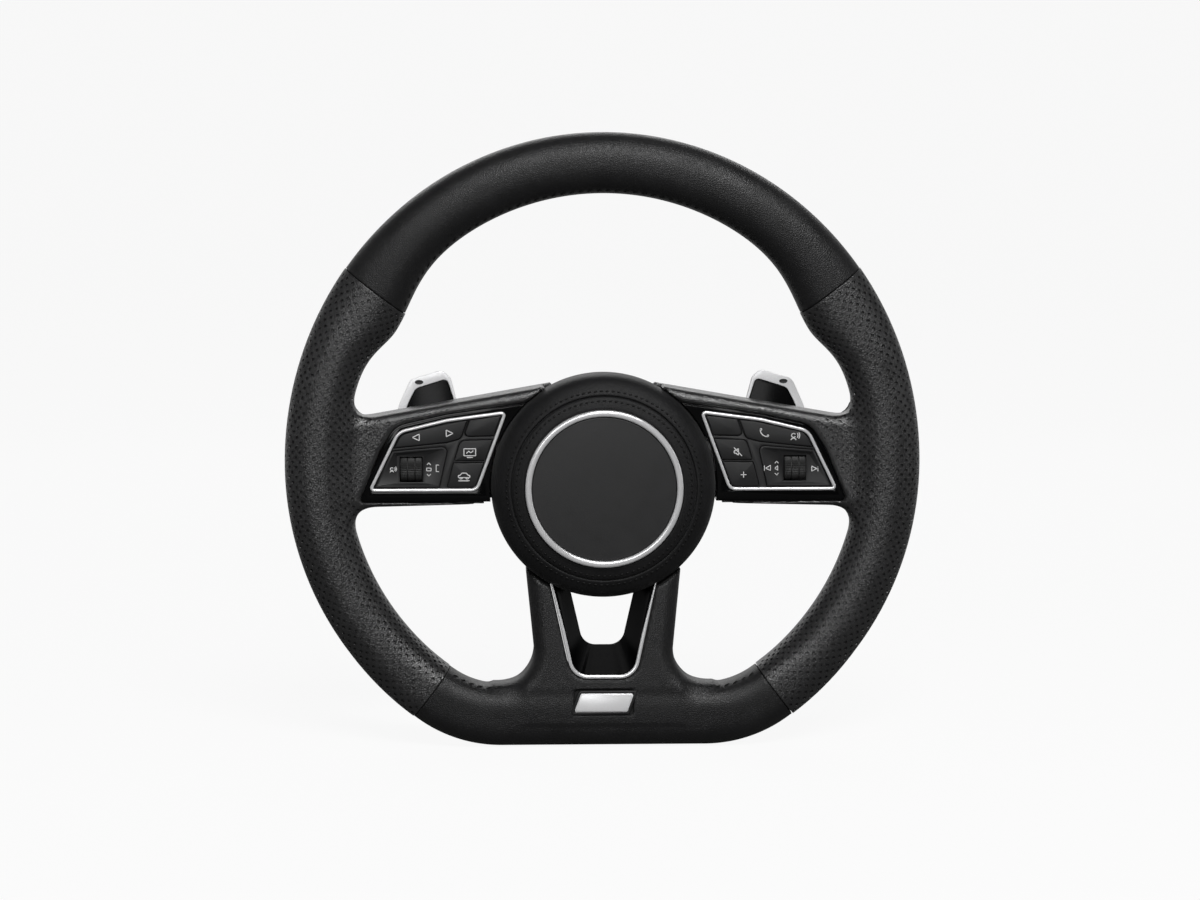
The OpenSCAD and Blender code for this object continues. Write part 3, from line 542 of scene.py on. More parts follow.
SILVER = metal("silver plate", (0.96, 0.96, 0.97), 0.3, (1.0, 1.0, 8.0), 1500.0, 0, 0.2)
RUBBER = moulded("roller rubber", (0.012, 0.012, 0.012), 0.6, 1500.0, 0.0001)
STEEL = metal("plated steel", (0.55, 0.55, 0.56), 0.3, (1.0, 1.0, 4.0))
PRESSED = metal("pressed steel", (0.42, 0.42, 0.43), 0.38)
CAST = cast("cast metal", (0.5, 0.5, 0.51))
BAG = woven("folded bag cloth", (0.62, 0.61, 0.58), 900.0)
BOARD = moulded("circuit board", (0.015, 0.09, 0.035), 0.4, 900.0, 0.0001)
THREAD = thread("black thread", (0.005, 0.005, 0.005))
PRINT = printed("sign print", (0.8, 0.8, 0.8))

SLOT_MATERIAL = {
    "smooth_leather": LEATHER, "perforated_leather": PERFORATED, "cover_leather": COVER_LEATHER,
    "foam": FOAM, "cast_metal": CAST, "matt_plastic": MATT, "gloss_plastic": GLOSS, "key_plastic": KEY,
    "cover_plastic": COVER_SKIN, "bright_trim": BRIGHT, "paddle_metal": PADDLE, "roller_rubber": RUBBER,
    "steel": STEEL, "pressed_steel": PRESSED, "bag_fabric": BAG, "circuit_board": BOARD,
}
for name, obj in nodes.items():
    obj.data.materials.clear()
    obj.data.materials.append(SLOT_MATERIAL[slot_of[name]])


# Making pieces

@contextmanager
def editing(mesh):
    """Opens a mesh for edits and writes it back at the end."""
    bm = bmesh.new()
    bm.from_mesh(mesh)
    yield bm
    bm.to_mesh(mesh)
    bm.free()


def facing_out(mesh):
    """The mesh with all its faces turned outwards."""
    with editing(mesh) as bm:
        bmesh.ops.recalc_face_normals(bm, faces=bm.faces)
    return mesh


def new_mesh(name, points, faces, scale=MM):
    mesh = bpy.data.meshes.new(name)
    places = (np.asarray(points, float) * scale).tolist()
    mesh.from_pydata(places, [], [list(map(int, f)) for f in faces])
    mesh.update()
    return mesh


def grid_faces(rows, n, ring=True, columns=None):
    """Quads between rows of n points; ring joins the last row to the first."""
    return [
        (i * n + j, i * n + (j + 1) % n, (i + 1) % rows * n + (j + 1) % n, (i + 1) % rows * n + j)
        for i in range(rows if ring else rows - 1) for j in range(n if columns is None else columns)
    ]


def tube_faces(rows, n):
    """Quads of a tube of rows of n points, and its two flat ends."""
    last = n * (rows - 1)
    return grid_faces(rows, n, ring=False) + [tuple(range(n))[::-1], tuple(range(last, last + n))]


def shade(mesh, angle=35.0):
    mesh.polygons.foreach_set("use_smooth", [True] * len(mesh.polygons))
    mesh.set_sharp_from_angle(angle=math.radians(angle))


def linked(name, mesh):
    obj = bpy.data.objects.new(name, mesh)
    scene.collection.objects.link(obj)
    return obj


def plain_copy(obj):
    """The object's mesh with its modifiers worked out; the object itself goes."""
    graph = bpy.context.evaluated_depsgraph_get()
    mesh = bpy.data.meshes.new_from_object(obj.evaluated_get(graph), depsgraph=graph)
    bpy.data.objects.remove(obj)
    return mesh


def piece(name, mesh, look, body, replaced=(), angle=35.0):
    """A finished piece on its body, which stands for the CAD nodes named."""
    mesh.materials.clear()
    mesh.materials.append(look)
    shade(mesh, angle)
    obj = linked(name, mesh)
    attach(obj, body)
    if replaced:
        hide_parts(*replaced)
    return obj


def cut_away(mesh, cutter):
    """The mesh with a cutter's solids taken away."""
    a, b = linked("cut", mesh), linked("cutter", cutter)
    mod = a.modifiers.new("cut", "BOOLEAN")
    mod.operation, mod.solver, mod.object = "DIFFERENCE", "MANIFOLD", b
    out = plain_copy(a)
    bpy.data.objects.remove(b)
    return out


def softened(node, width, segments):
    """A merged copy of a CAD node's mesh with its edges rounded."""
    mesh = nodes[node].data.copy()
    mesh.materials.clear()
    with editing(mesh) as bm:
        bmesh.ops.remove_doubles(bm, verts=bm.verts, dist=2e-6)
        bmesh.ops.dissolve_limit(bm, angle_limit=math.radians(1.0), verts=bm.verts, edges=bm.edges)
    obj = linked(node + "_soft", mesh)
    mod = obj.modifiers.new("round", "BEVEL")
    mod.width, mod.segments = width * MM, segments
    mod.limit_method, mod.angle_limit = "ANGLE", math.radians(35)
    mod.use_clamp_overlap = True
    mod.miter_outer = "MITER_ARC"
    return plain_copy(obj)


def lathe(profile, n=240):
    """Solid of revolution round the airbag's middle from a closed outline of radius and depth."""
    turn = 2 * math.pi * np.arange(n) / n
    points = [(r * math.cos(a), -f, r * math.sin(a) - HUB_DROP) for r, f in profile for a in turn]
    mesh = new_mesh("turned", points, grid_faces(len(profile), n))
    with editing(mesh) as bm:
        bmesh.ops.remove_doubles(bm, verts=bm.verts, dist=1e-6)
    return facing_out(mesh)


# Leather panels: one smooth form, parted at the seams

def panel(points, quads, chosen, seams, proud, wall=1.25):
    """Chosen quads of the form, cut clean at the seam planes, with the leather's thickness."""
    used = np.unique(quads[chosen])
    renumber = np.full(len(points), -1)
    renumber[used] = np.arange(len(used))
    mesh = new_mesh("panel", points[used], renumber[quads[chosen]])
    with editing(mesh) as bm:
        for angle, keep in seams:
            a = math.radians(angle)
            along = Vector((math.cos(a), 0, math.sin(a)))
            away = keep * Vector((-math.sin(a), 0, math.cos(a)))
            near = [
                f for f in bm.faces
                if (c := f.calc_center_median()).dot(along) > 0.11 and abs(c.dot(away)) < 0.03
            ]
            edges, verts = {e for f in near for e in f.edges}, {v for f in near for v in f.verts}
            bmesh.ops.bisect_plane(
                bm, geom=near + list(edges) + list(verts), dist=1e-7,
                plane_co=-SEAM_GAP / 2 * MM * away, plane_no=away, clear_outer=True,
            )
        bm.normal_update()
        for v in bm.verts:
            v.co += v.normal * proud * MM
    obj = linked("panel", mesh)
    mod = obj.modifiers.new("thickness", "SOLIDIFY")
    mod.thickness, mod.offset, mod.use_rim, mod.use_even_offset = wall * MM, -1, True, False
    mod = obj.modifiers.new("turned edge", "BEVEL")
    mod.width, mod.segments = 0.45 * MM, 2
    mod.limit_method, mod.angle_limit = "ANGLE", math.radians(60)
    return plain_copy(obj)


STEP, RIM_START, LOW_SPOKE_Z = 1.3, 112.0, -44.0
net_points, net_quads = surface_net(leather_field, (-190, -79, -170), (190, -35, 197), STEP)
net_points = relaxed(net_points, net_quads, leather_field)
middle = net_points[net_quads].mean(1)
turn = np.degrees(np.arctan2(middle[:, 2], middle[:, 0]))
radius = np.hypot(middle[:, 0], middle[:, 2])
on_rim = radius > RIM_START
spare = 4.0
is_top = on_rim & (turn > SEAM_UP - spare) & (turn < 180 - SEAM_UP + spare)
is_low = on_rim & (turn > SEAM_LOW - 180 - spare) & (turn < -SEAM_LOW + spare)
is_low |= ~on_rim & (middle[:, 2] < LOW_SPOKE_Z)
is_side = on_rim & (turn > -SEAM_LOW - spare) & (turn < SEAM_UP + spare)
is_side |= ~on_rim & (middle[:, 2] >= LOW_SPOKE_Z) & (middle[:, 0] > 0)

top_panel = panel(net_points, net_quads, is_top, [(SEAM_UP, -1), (180 - SEAM_UP, 1)], -0.2)
low_panel = panel(net_points, net_quads, is_low, [(180 + SEAM_LOW, -1), (360 - SEAM_LOW, 1)], -0.2)
side_panel = panel(net_points, net_quads, is_side, [(-SEAM_LOW, -1), (SEAM_UP, 1)], 0.15)


# Perforations and stitches

def scatter_tree(name, shape, sizes):
    """Geometry nodes that set one small shape on each point, by its "out" and "along" directions."""
    tree = bpy.data.node_groups.new(name, "GeometryNodeTree")
    for label, kind in (
        ("Geometry", "Geometry"), *((label, "Float") for label in sizes), ("Material", "Material"),
    ):
        tree.interface.new_socket(label, in_out="INPUT", socket_type="NodeSocket" + kind)
    tree.interface.new_socket("Geometry", in_out="OUTPUT", socket_type="NodeSocketGeometry")
    add = partial(add_node, tree)
    given = add("NodeGroupInput")
    out, along = (
        add("GeometryNodeInputNamedAttribute", {"Name": label}, data_type="FLOAT_VECTOR")
        for label in ("out", "along")
    )
    turned = add(
        "FunctionNodeAxesToRotation",
        {"Primary Axis": out.outputs["Attribute"], "Secondary Axis": along.outputs["Attribute"]},
        primary_axis="Z", secondary_axis="X",
    )
    points = add("GeometryNodeMeshToPoints", {"Mesh": given.outputs["Geometry"]})
    placed = add("GeometryNodeInstanceOnPoints", {
        "Points": points.outputs["Points"], "Instance": shape(add, given),
        "Rotation": turned.outputs["Rotation"],
    })
    real = add("GeometryNodeRealizeInstances", {"Geometry": placed.outputs["Instances"]})
    painted = add("GeometryNodeSetMaterial", {
        "Geometry": real.outputs["Geometry"], "Material": given.outputs["Material"],
    })
    add("NodeGroupOutput", {"Geometry": painted.outputs["Geometry"]})
    return tree


def hole_shape(add, given):
    """A tapered pin that is wide at its mouth and stands a little out of the leather."""
    pin = add("GeometryNodeMeshCone", {
        "Vertices": 8, "Depth": 1.28 * MM,
        "Radius Top": given.outputs["Mouth radius"], "Radius Bottom": given.outputs["Hole radius"],
    })
    sunk = add("GeometryNodeTransform", {
        "Geometry": pin.outputs["Mesh"], "Translation": (0, 0, -1.0 * MM),
    })
    return sunk.outputs["Geometry"]


def stitch_shape(add, given):
    """A short length of thread, thin at both ends."""
    ball = add("GeometryNodeMeshUVSphere", {"Segments": 10, "Rings": 7, "Radius": 1.0})
    width = given.outputs["Half width"]
    size = add("ShaderNodeCombineXYZ", {"X": given.outputs["Half length"], "Y": width, "Z": width})
    drawn = add("GeometryNodeTransform", {
        "Geometry": ball.outputs["Mesh"], "Scale": size.outputs["Vector"],
    })
    return drawn.outputs["Geometry"]


HOLES = scatter_tree("perforations", hole_shape, ("Hole radius", "Mouth radius"))
STITCHES = scatter_tree("stitches", stitch_shape, ("Half length", "Half width"))


def scattered(tree, places, outs, alongs, look, **sizes):
    """The tree's shape on each place, as one plain mesh."""
    mesh = new_mesh("places", places, [])
    for label, values in (("out", outs), ("along", alongs)):
        data = mesh.attributes.new(label, "FLOAT_VECTOR", "POINT").data
        data.foreach_set("vector", np.asarray(values, np.float32).ravel())
    obj = linked("places", mesh)
    mod = obj.modifiers.new("scatter", "NODES")
    mod.node_group = tree
    for item in tree.interface.items_tree:
        if item.in_out == "INPUT" and item.name in sizes:
            mod[item.identifier] = sizes[item.name] * MM
        elif item.in_out == "INPUT" and item.name == "Material":
            mod[item.identifier] = look
    return plain_copy(obj)


def run_of(path):
    """Length along a path up to each of its points."""
    return np.concatenate([[0], np.cumsum(np.linalg.norm(np.diff(path, axis=0), axis=1))])


def sampled(at, run, values):
    """Rows of values at places along a run."""
    return np.stack([np.interp(at, run, column) for column in values.T], 1)


def unit_rows(v):
    return v / np.maximum(np.linalg.norm(v, axis=1), 1e-9)[:, None]


def traced(angles, inward, rows, stop):
    """Rows of points on the form, each column followed in its own radial plane from the rim's crown."""
    outer, inner = rim_edges(angles)
    radial = np.stack([np.cos(angles), 0 * angles, np.sin(angles)], 1)
    round_rim = np.cross(radial, [0.0, 1.0, 0.0])
    p = radial * ((outer + inner) / 2)[:, None] - (0, DISH + GRIP_D / 2, 0)
    heading = -radial if inward else radial
    alive = np.ones(len(angles), bool)
    out = []
    parts = 8
    for row in range(rows):
        for _ in range(parts if row else 0):
            side = unit_rows(np.cross(slope_of(leather_field, p), round_rim))
            side *= np.where((side * heading).sum(1) < 0, -1, 1)[:, None]
            heading = side
            p = p + side * PITCH / parts
            g = slope_of(leather_field, p)
            flat = g - (g * round_rim).sum(1)[:, None] * round_rim
            p = p - flat * (leather_field(*p.T) / np.maximum((flat * flat).sum(1), 0.2))[:, None]
        alive &= ~stop(p)
        out.append((p.copy(), alive.copy(), heading.copy()))
    return out


def perforation_places():
    """Staggered lattice over the right grip: columns along the rim, rows round it."""
    # The columns keep 2.3 mm from the low seam and 1.6 mm from the upper one
    angle, last = math.radians(-SEAM_LOW) + 2.3 / 170, math.radians(SEAM_UP) - 1.6 / 165
    angles = []
    while angle < last:
        angles.append(angle)
        outer, inner = rim_edges(np.array([angle]))
        angle += PITCH / float((outer + inner)[0] / 2)
    angles = np.array(angles)
    column = np.arange(len(angles))

    def past_end(p, on_side_wall):
        """Beside the hub or the bezel, or over the edge of a spoke."""
        r = np.hypot(p[:, 0], p[:, 2])
        beside = (bezel_field(p[:, 0], p[:, 2]) < 3.4) | (np.hypot(p[:, 0], p[:, 2] + HUB_DROP) < 71)
        return beside | (r < 108) | (on_side_wall & (r < 160))

    front = traced(angles, True, FRONT_ROWS, lambda p: past_end(p, p[:, 1] > -61.5))
    back = traced(
        angles, False, BACK_ROWS, lambda p: past_end(p, p[:, 1] < -54.5) & (p[:, 1] > -70))
    found = []
    for j, (p, alive, heading) in [*enumerate(front), *list(enumerate(back))[1:]]:
        pick = alive & ((column + j) % 2 == 0)
        found.append((p[pick], heading[pick]))
    places, alongs = (np.concatenate(rows) for rows in zip(*found))
    return places, unit_rows(slope_of(leather_field, places)), alongs


hole_places, hole_outs, hole_alongs = perforation_places()
pins = scattered(
    HOLES, hole_places, hole_outs, hole_alongs, PERFORATED,
    **{"Hole radius": HOLE_R, "Mouth radius": MOUTH_R},
)
side_panel = cut_away(side_panel, pins)


def mirrored(mesh):
    """Copy for the left side."""
    out = mesh.copy()
    with editing(out) as bm:
        bmesh.ops.scale(bm, vec=(-1, 1, 1), verts=bm.verts)
        bmesh.ops.reverse_faces(bm, faces=bm.faces)
    return out


left_panel = mirrored(side_panel)
piece("top_leather", top_panel, LEATHER, "wheel", ["leather_top"])
piece("bottom_leather", low_panel, LEATHER, "wheel", ["leather_bottom"])
piece("right_grip_leather", side_panel, PERFORATED, "wheel", ["leather_right"], angle=50)
piece("left_grip_leather", left_panel, PERFORATED, "wheel", ["leather_left"], angle=50)


def stitch_row(name, path, outs, size, body, closed=False, slant=0.0, sink=0.1):
    """Stitches along a path on a surface: size holds their pitch, length and width."""
    pitch, length, width = size
    path, outs = np.asarray(path, float), np.asarray(outs, float)
    if closed:
        path, outs = np.vstack([path, path[:1]]), np.vstack([outs, outs[:1]])
    run = run_of(path)
    count = max(2, round(run[-1] / pitch))
    at = run[-1] * ((np.arange(count) + 0.5) / count)
    place, out = sampled(at, run, path), unit_rows(sampled(at, run, outs))
    along = unit_rows(sampled(at + 0.4, run, path) - sampled(at - 0.4, run, path))
    side = np.cross(out, along)
    along = unit_rows(along * math.cos(math.radians(slant)) + side * math.sin(math.radians(slant)))
    mesh = scattered(
        STITCHES, place - out * sink, out, along, THREAD,
        **{"Half length": length / 2, "Half width": width / 2},
    )
    return piece(name, mesh, THREAD, body, angle=80)


def rim_path(a0, a1, section, n=260):
    """Path along the rim at a fixed place of its section, and the surface's direction there."""
    a = np.radians(np.linspace(a0, a1, n))
    outer, inner = rim_edges(a)
    m, h = (outer + inner) / 2, (outer - inner) / 2
    t, e = math.radians(section), 2 / 2.25
    c, s = math.cos(t), math.sin(t)
    r = m + h * math.copysign(abs(c) ** e, c)
    y = -DISH - GRIP_D / 2 * math.copysign(abs(s) ** e, s)
    p = onto(leather_field, np.stack([r * np.cos(a), np.full(n, y), r * np.sin(a)], 1))
    return p, unit_rows(slope_of(leather_field, p))


for name, a0, a1 in (
    ("top_seam_stitches", SEAM_UP + 1, 179 - SEAM_UP),
    ("right_grip_stitches", 17, SEAM_UP - 1), ("left_grip_stitches", 181 - SEAM_UP, 163),
    ("right_lower_grip_stitches", 1 - SEAM_LOW, -16), ("left_lower_grip_stitches", 196, 179 + SEAM_LOW),
    ("right_low_stitches", 290, 359 - SEAM_LOW), ("left_low_stitches", 181 + SEAM_LOW, 250),
):
    path, outs = rim_path(a0, a1, 152)
    stitch_row(name, path, outs, (5.2, 3.4, 0.8), "wheel", slant=24)


def beside_bezel(count, gap):
    """Path on the leather beside the last points of the bezel's outline."""
    ring = np.array(BEZEL)
    ahead = np.roll(ring, -1, axis=0) - np.roll(ring, 1, axis=0)
    away = np.stack([ahead[:, 1], -ahead[:, 0]], 1) / np.linalg.norm(ahead, axis=1)[:, None]
    middle = ring.mean(0)
    away *= np.where(((ring - middle) * away).sum(1) < 0, -1, 1)[:, None]
    p = (ring + away * gap)[-count:]
    p = np.stack([p[:, 0], np.full(len(p), -SPOKE_FRONT), p[:, 1]], 1)
    p = onto(leather_field, p, 4)
    return p, unit_rows(slope_of(leather_field, p))


def on_left(p):
    return p * np.array([-1.0, 1.0, 1.0])


path, outs = beside_bezel(21, 2.9)  # the bezel's curved upper edge
for name, places, ways in (
    ("right_pack_stitches", path, outs), ("left_pack_stitches", on_left(path), on_left(outs)),
):
    stitch_row(name, places, ways, (3.4, 2.3, 0.7), "wheel", sink=0.08)


# Airbag cover

def cap_depth(r):
    """Depth of the cover's face at a radius."""
    t = np.arccos(np.clip((r / CAP_R) ** (CAP_N / 2), 0, 1))
    return CAP_BASE + (CAP_FACE - CAP_BASE) * np.sin(t) ** (2 / CAP_N)


def fold(edge, width, drop, r):
    """Drop of a leather edge that is turned in over a width, at radius r."""
    u = np.clip(1 - np.abs(r - edge) / width, 0, 1)
    return drop * (1 - np.sqrt(1 - u * u * 0.999))


def cover_side():
    t = np.radians(np.linspace(0, 62, 60))
    r = CAP_R * np.cos(t) ** (2 / CAP_N)
    f = CAP_BASE + (CAP_FACE - CAP_BASE) * np.sin(t) ** (2 / CAP_N)
    keep = r > GROOVE_R + 1.8
    end = GROOVE_R + 0.15
    edge = np.linspace(GROOVE_R + 1.7, end, 10)
    under = np.linspace(end, CAP_R - 6, 10)
    return [
        (CAP_R - 0.9, CAP_BACK), (CAP_R - 0.2, CAP_BACK + 0.3), (CAP_R, CAP_BACK + 1.1),
        *zip(r[keep], f[keep]), *zip(edge, cap_depth(edge) - fold(end, 1.6, 1.0, edge)),
        *zip(under, cap_depth(under) - 2.0), (CAP_R - 1.5, CAP_BASE + 4), (CAP_R - 1.5, CAP_BACK),
    ]


def cover_front():
    r = np.linspace(GROOVE_R - 0.15, RING_R + 0.25, 34)
    f = cap_depth(r) - fold(r[0], 1.6, 1.0, r) - fold(r[-1], 1.6, 0.9, r)
    under = r[[-1, 0]]
    return [*zip(r, f), *zip(under, cap_depth(under) - 1.9)]


def ring_profile():
    f0 = CAP_FACE - 4
    r0, r1 = RING_R - RING_W, RING_R
    t = np.radians(np.linspace(0, 180, 25))
    m, h = (r0 + r1) / 2, (r1 - r0) / 2
    c = np.cos(t)
    r = m + h * np.copysign(np.abs(c) ** 0.7, c)
    f = f0 + 3.2 + 1.35 * np.abs(np.sin(t)) ** 0.8
    return [(r0, f0), (r1, f0)] + list(zip(r, f))


def disc_profile():
    r1 = RING_R - RING_W - 0.1
    f0 = CAP_FACE - 4
    r = np.linspace(0, r1 - 0.9, 26)
    a = np.radians(np.linspace(8, 90, 7))
    return [
        *zip(r, f0 + 3.95 - 0.75 * (r / r1) ** 2.4),
        *zip(r1 - 0.9 + 0.9 * np.sin(a), f0 + 2.35 + 0.9 * np.cos(a)), (r1, f0), (0, f0),
    ]


for name, profile, look, node, angle in (
    ("cover_side_leather_skin", cover_side(), COVER_LEATHER, "cover_side_leather", 35),
    ("cover_front_leather_skin", cover_front(), COVER_LEATHER, "cover_front_leather", 35),
    ("bright_ring", ring_profile(), BRIGHT, "cover_ring", 70),
    ("cover_disc_skin", disc_profile(), COVER_SKIN, "cover_disc", 35),
):
    piece(name, lathe(profile), look, "horn_pad", [node], angle=angle)


def cover_circle(r, n=360):
    a = np.radians(np.arange(n) * 360 / n)
    slope = (cap_depth(r + 0.1) - cap_depth(r - 0.1)) / 0.2
    p = np.stack([r * np.cos(a), np.full(n, -cap_depth(r)), r * np.sin(a) - HUB_DROP], 1)
    out = np.stack([-slope * np.cos(a), np.full(n, -1.0), -slope * np.sin(a)], 1)
    return p, unit_rows(out)


for name, r in (("inner_cover_stitches", GROOVE_R - 2.7), ("outer_cover_stitches", GROOVE_R + 2.8)):
    path, outs = cover_circle(r)
    size = (3.4, 2.0, 1.1)
    stitch_row(name, path, outs, size, "horn_pad", closed=True, slant=12, sink=0.0)


# Key packs and trims

def inset(ring, g):
    """Closed outline moved inwards by g, with the same number of points."""
    ring = np.asarray(ring, float)
    ahead = np.roll(ring, -1, axis=0) - ring
    n1 = unit_rows(np.stack([ahead[:, 1], -ahead[:, 0]], 1))
    x, z = ring.T
    if (x * np.roll(z, -1) - np.roll(x, -1) * z).sum() > 0:
        n1 = -n1
    n0 = np.roll(n1, 1, axis=0)
    both = n0 + n1
    return ring + g * both / np.maximum((both * both).sum(1) / 2, 0.3)[:, None]


def band(profile, rings, lift=None, closed=True):
    """Strip with a rounded section along an outline: profile holds the depth for each of the rings."""
    n, k = len(rings[0]), len(rings)
    points = [
        (x, -f if lift is None else -lift(f, z), z) for f, ring in zip(profile, rings) for x, z in ring
    ]
    faces = grid_faces(k, n, columns=n if closed else n - 1)
    if not closed:
        faces += [tuple(i * n for i in range(k)), tuple(i * n + n - 1 for i in range(k))]
    return facing_out(new_mesh("band", points, faces))


def bead_section(width, front, back, crown, n=9):
    """Insets and depths of a trim strip with a rounded front."""
    out = [(0.0, back)]
    for i in range(n + 1):
        a = math.pi * (1 - i / n)
        out.append((width / 2 + width / 2 * math.cos(a), front - crown + crown * math.sin(a) ** 0.7))
    return out + [(width, back)]


FRAME_PTS = [(136.9, -15.3, 2.5), (73, -15.3, 6), (55.6, 31.8, 2.5), (91, 27.2, 60), (119.4, 20.4, 10)]
FRAME_OUTLINE = rounded(FRAME_PTS, 10)


def pack_trim():
    section = bead_section(1.85, FRAME_FRONT, KEY_FRONT - 5, 0.75)
    return band([f for _, f in section], [inset(FRAME_OUTLINE, g) for g, _ in section])


def funnel_lift(f, z):
    return f - math.tan(math.radians(FUNNEL_TILT)) * (z - FUNNEL_Z)


def funnel_trim():
    """Bright strip round the funnel's mouth, drawn out thin towards its upper ends."""
    line = np.array(funnel_outline(18))
    top, low = line[0], line[1]
    side = [top + (low - top) * t for t in np.linspace(0, 1, 15)[1:-1]]
    line = np.concatenate([[top], side, line[1:-1], np.array(side[::-1]) * (-1, 1), [line[-1]]])
    thin = np.clip((line[:, 1] + 100) / 34, 0, 1)
    rings, depths = [], []
    for g, f in bead_section(2.1, FUNNEL_FRONT + 0.4, FUNNEL_FRONT - 1.1, 0.7):
        full, fine = inset(line, g), inset(line, g * 0.35 + 0.1)
        rings.append(full + (fine - full) * thin[:, None])
        depths.append(f)
    rings = [r[(line[:, 1] < -64)] for r in rings]
    return band(depths, rings, funnel_lift, closed=False)


def ribbed_roller():
    """Rubber roller with fine ribs along its axle and two grooves round it, and its pins."""
    stations = [
        (-6.2, 0.5), (-5.7, 0.0), (-2.6, 0.0), (-2.35, 0.4), (-2.0, 0.4), (-1.75, 0.0),
        (1.75, 0.0), (2.0, 0.4), (2.35, 0.4), (2.6, 0.0), (5.7, 0.0), (6.2, 0.5),
    ]
    ribs, n, depth = 44, 176, 0.17
    a = 2 * np.pi * np.arange(n) / n
    wave = depth * (1 - np.cos(ribs * a))
    points = []
    for x, drop in stations:
        r = ROLLER_R - drop - wave * (1 if drop == 0 else 0.3)
        points += zip(np.full(n, ROLLER_X + x), r * np.cos(a) - ROLLER_F, r * np.sin(a) + ROLLER_Z)
    mesh = new_mesh("roller", points, tube_faces(len(stations), n))
    turn = Vector((0, 0, 1)).rotation_difference(Vector((1, 0, 0))).to_matrix()
    with editing(mesh) as bm:
        for sign in (-1, 1):
            pin = bmesh.ops.create_cone(
                bm, cap_ends=True, segments=24,
                radius1=PIN_R * MM, radius2=PIN_R * MM, depth=PIN_L * MM,
            )["verts"]
            middle = Vector((ROLLER_X + sign * PIN_X, -ROLLER_F, ROLLER_Z))
            bmesh.ops.rotate(bm, verts=pin, matrix=turn)
            bmesh.ops.translate(bm, verts=pin, vec=middle * MM)
        bmesh.ops.triangulate(bm, faces=[f for f in bm.faces if len(f.verts) > 4])
    return facing_out(mesh)


skins = {}
for side in ("left_", "right_"):
    for node, width, segments in (
        ("bezel", 0.5, 3), ("key_housing", 0.15, 2), ("rocker", 0.3, 3),
        ("blank_key", 0.3, 3), ("middle_key", 0.3, 3), ("lower_key", 0.3, 3), ("tilt_plate", 0.25, 2),
        ("paddle", 0.7, 4), ("paddle_face", 0.25, 2), ("back_cover", 0.8, 3), ("paddle_switch", 0.2, 2),
    ):
        mesh = softened(side + node, width, segments)
        body = nodes[side + node]["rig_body"]
        usual = SLOT_MATERIAL[slot_of[side + node]]
        look = {"key_housing": KEY, "paddle_face": INSERT}.get(node, usual)
        skins[side + node] = piece(side + node + "_skin", mesh, look, body, [side + node], angle=40)
for node, width, segments, look in (
    ("lower_bezel", 0.3, 2, DEEP_GLOSS), ("badge_frame", 0.25, 2, MATT),
    ("badge_plate", 0.15, 2, SILVER), ("rear_cover", 0.8, 3, MATT), ("armature", 0.6, 2, CAST),
):
    piece(node + "_skin", softened(node, width, segments), look, "wheel", [node], angle=40)

trim, roller = pack_trim(), ribbed_roller()
piece("left_trim", mirrored(trim), BRIGHT, "wheel", ["left_frame"])
piece("right_trim", trim, BRIGHT, "wheel", ["right_frame"])
piece("left_ribbed_roller", mirrored(roller), RUBBER, "left_roller_body", ["left_roller"])
piece("right_ribbed_roller", roller, RUBBER, "right_roller_body", ["right_roller"])
piece("funnel_trim", funnel_trim(), BRIGHT, "wheel", ["lower_trim"])


# Signs printed on the keys

def arc(x, z, r, a0, a1, n=9):
    a = np.radians(np.linspace(a0, a1, n))
    return list(zip(x + r * np.cos(a), z + r * np.sin(a)))


def loop(*points):
    return [*points, points[0]]


def box(x0, z0, x1, z1):
    return loop((x0, z0), (x1, z0), (x1, z1), (x0, z1))


def chevrons(z):
    """An angle that points up above the middle, and one that points down below it."""
    return [[(-1.1, way * z), (0, way * (z + 1.1)), (1.1, way * z)] for way in (1, -1)]


def flipped(strokes):
    return [[(-x, z) for x, z in path] for path in strokes]


ARROW = [loop((1.8, -1.9), (1.8, 1.9), (-2.1, 0))]
SCREEN = [
    box(-3.4, -1.7, 3.4, 2.4), [(-1.7, -2.7), (1.7, -2.7)],
    [(-2.0, -0.3), (-0.6, 1.0), (0.6, 0.0), (2.0, 1.2)],
]
CAR = [
    loop(
        (-3.3, -0.8), (-3.3, 0.3), (-2.1, 0.7), (-1.2, 1.8), (1.3, 1.8), (2.2, 0.7),
        (3.3, 0.3), (3.3, -0.8),
    ),
    arc(-1.8, -0.9, 0.8, 180, 360), arc(1.8, -0.9, 0.8, 180, 360), [(-3.3, -2.7), (3.3, -2.7)],
]
SPEECH = [
    arc(-0.7, 0.7, 1.2, 30, 330), arc(-0.7, -2.5, 1.6, 20, 160),
    arc(-0.4, 0.7, 2.3, -35, 35), arc(-0.4, 0.7, 3.3, -35, 35),
]
SMALL_SPEECH = [[(x * 0.72, z * 0.72) for x, z in stroke] for stroke in SPEECH]
STEPS = [*chevrons(2.7), box(-1.3, -0.8, 1.3, 0.8)]
BRACKET = [[(0.9, 1.9), (-0.7, 1.9), (-0.7, -1.9), (0.9, -1.9)]]
HANDSET = [
    arc(2.4, 2.2, 4.4, 176, 274, 12), arc(-1.5, 2.1, 0.5, 0, 360), arc(2.5, -1.7, 0.5, 0, 360),
]
SPEAKER = loop((-2.2, -0.8), (-1.2, -0.8), (0.2, -2.0), (0.2, 2.0), (-1.2, 0.8), (-2.2, 0.8))
MUTE = [SPEAKER, [(-2.4, 2.5), (2.4, -2.5)]]
PLUS = [[(-1.7, 0), (1.7, 0)], [(0, -1.7), (0, 1.7)]]
SKIP = [[(-2.0, -1.5), (-2.0, 1.5)], loop((1.6, -1.5), (1.6, 1.5), (-1.3, 0))]
LOUDER = [*chevrons(2.9), [(x * 0.6 + 0.5, z * 0.7) for x, z in SPEAKER]]


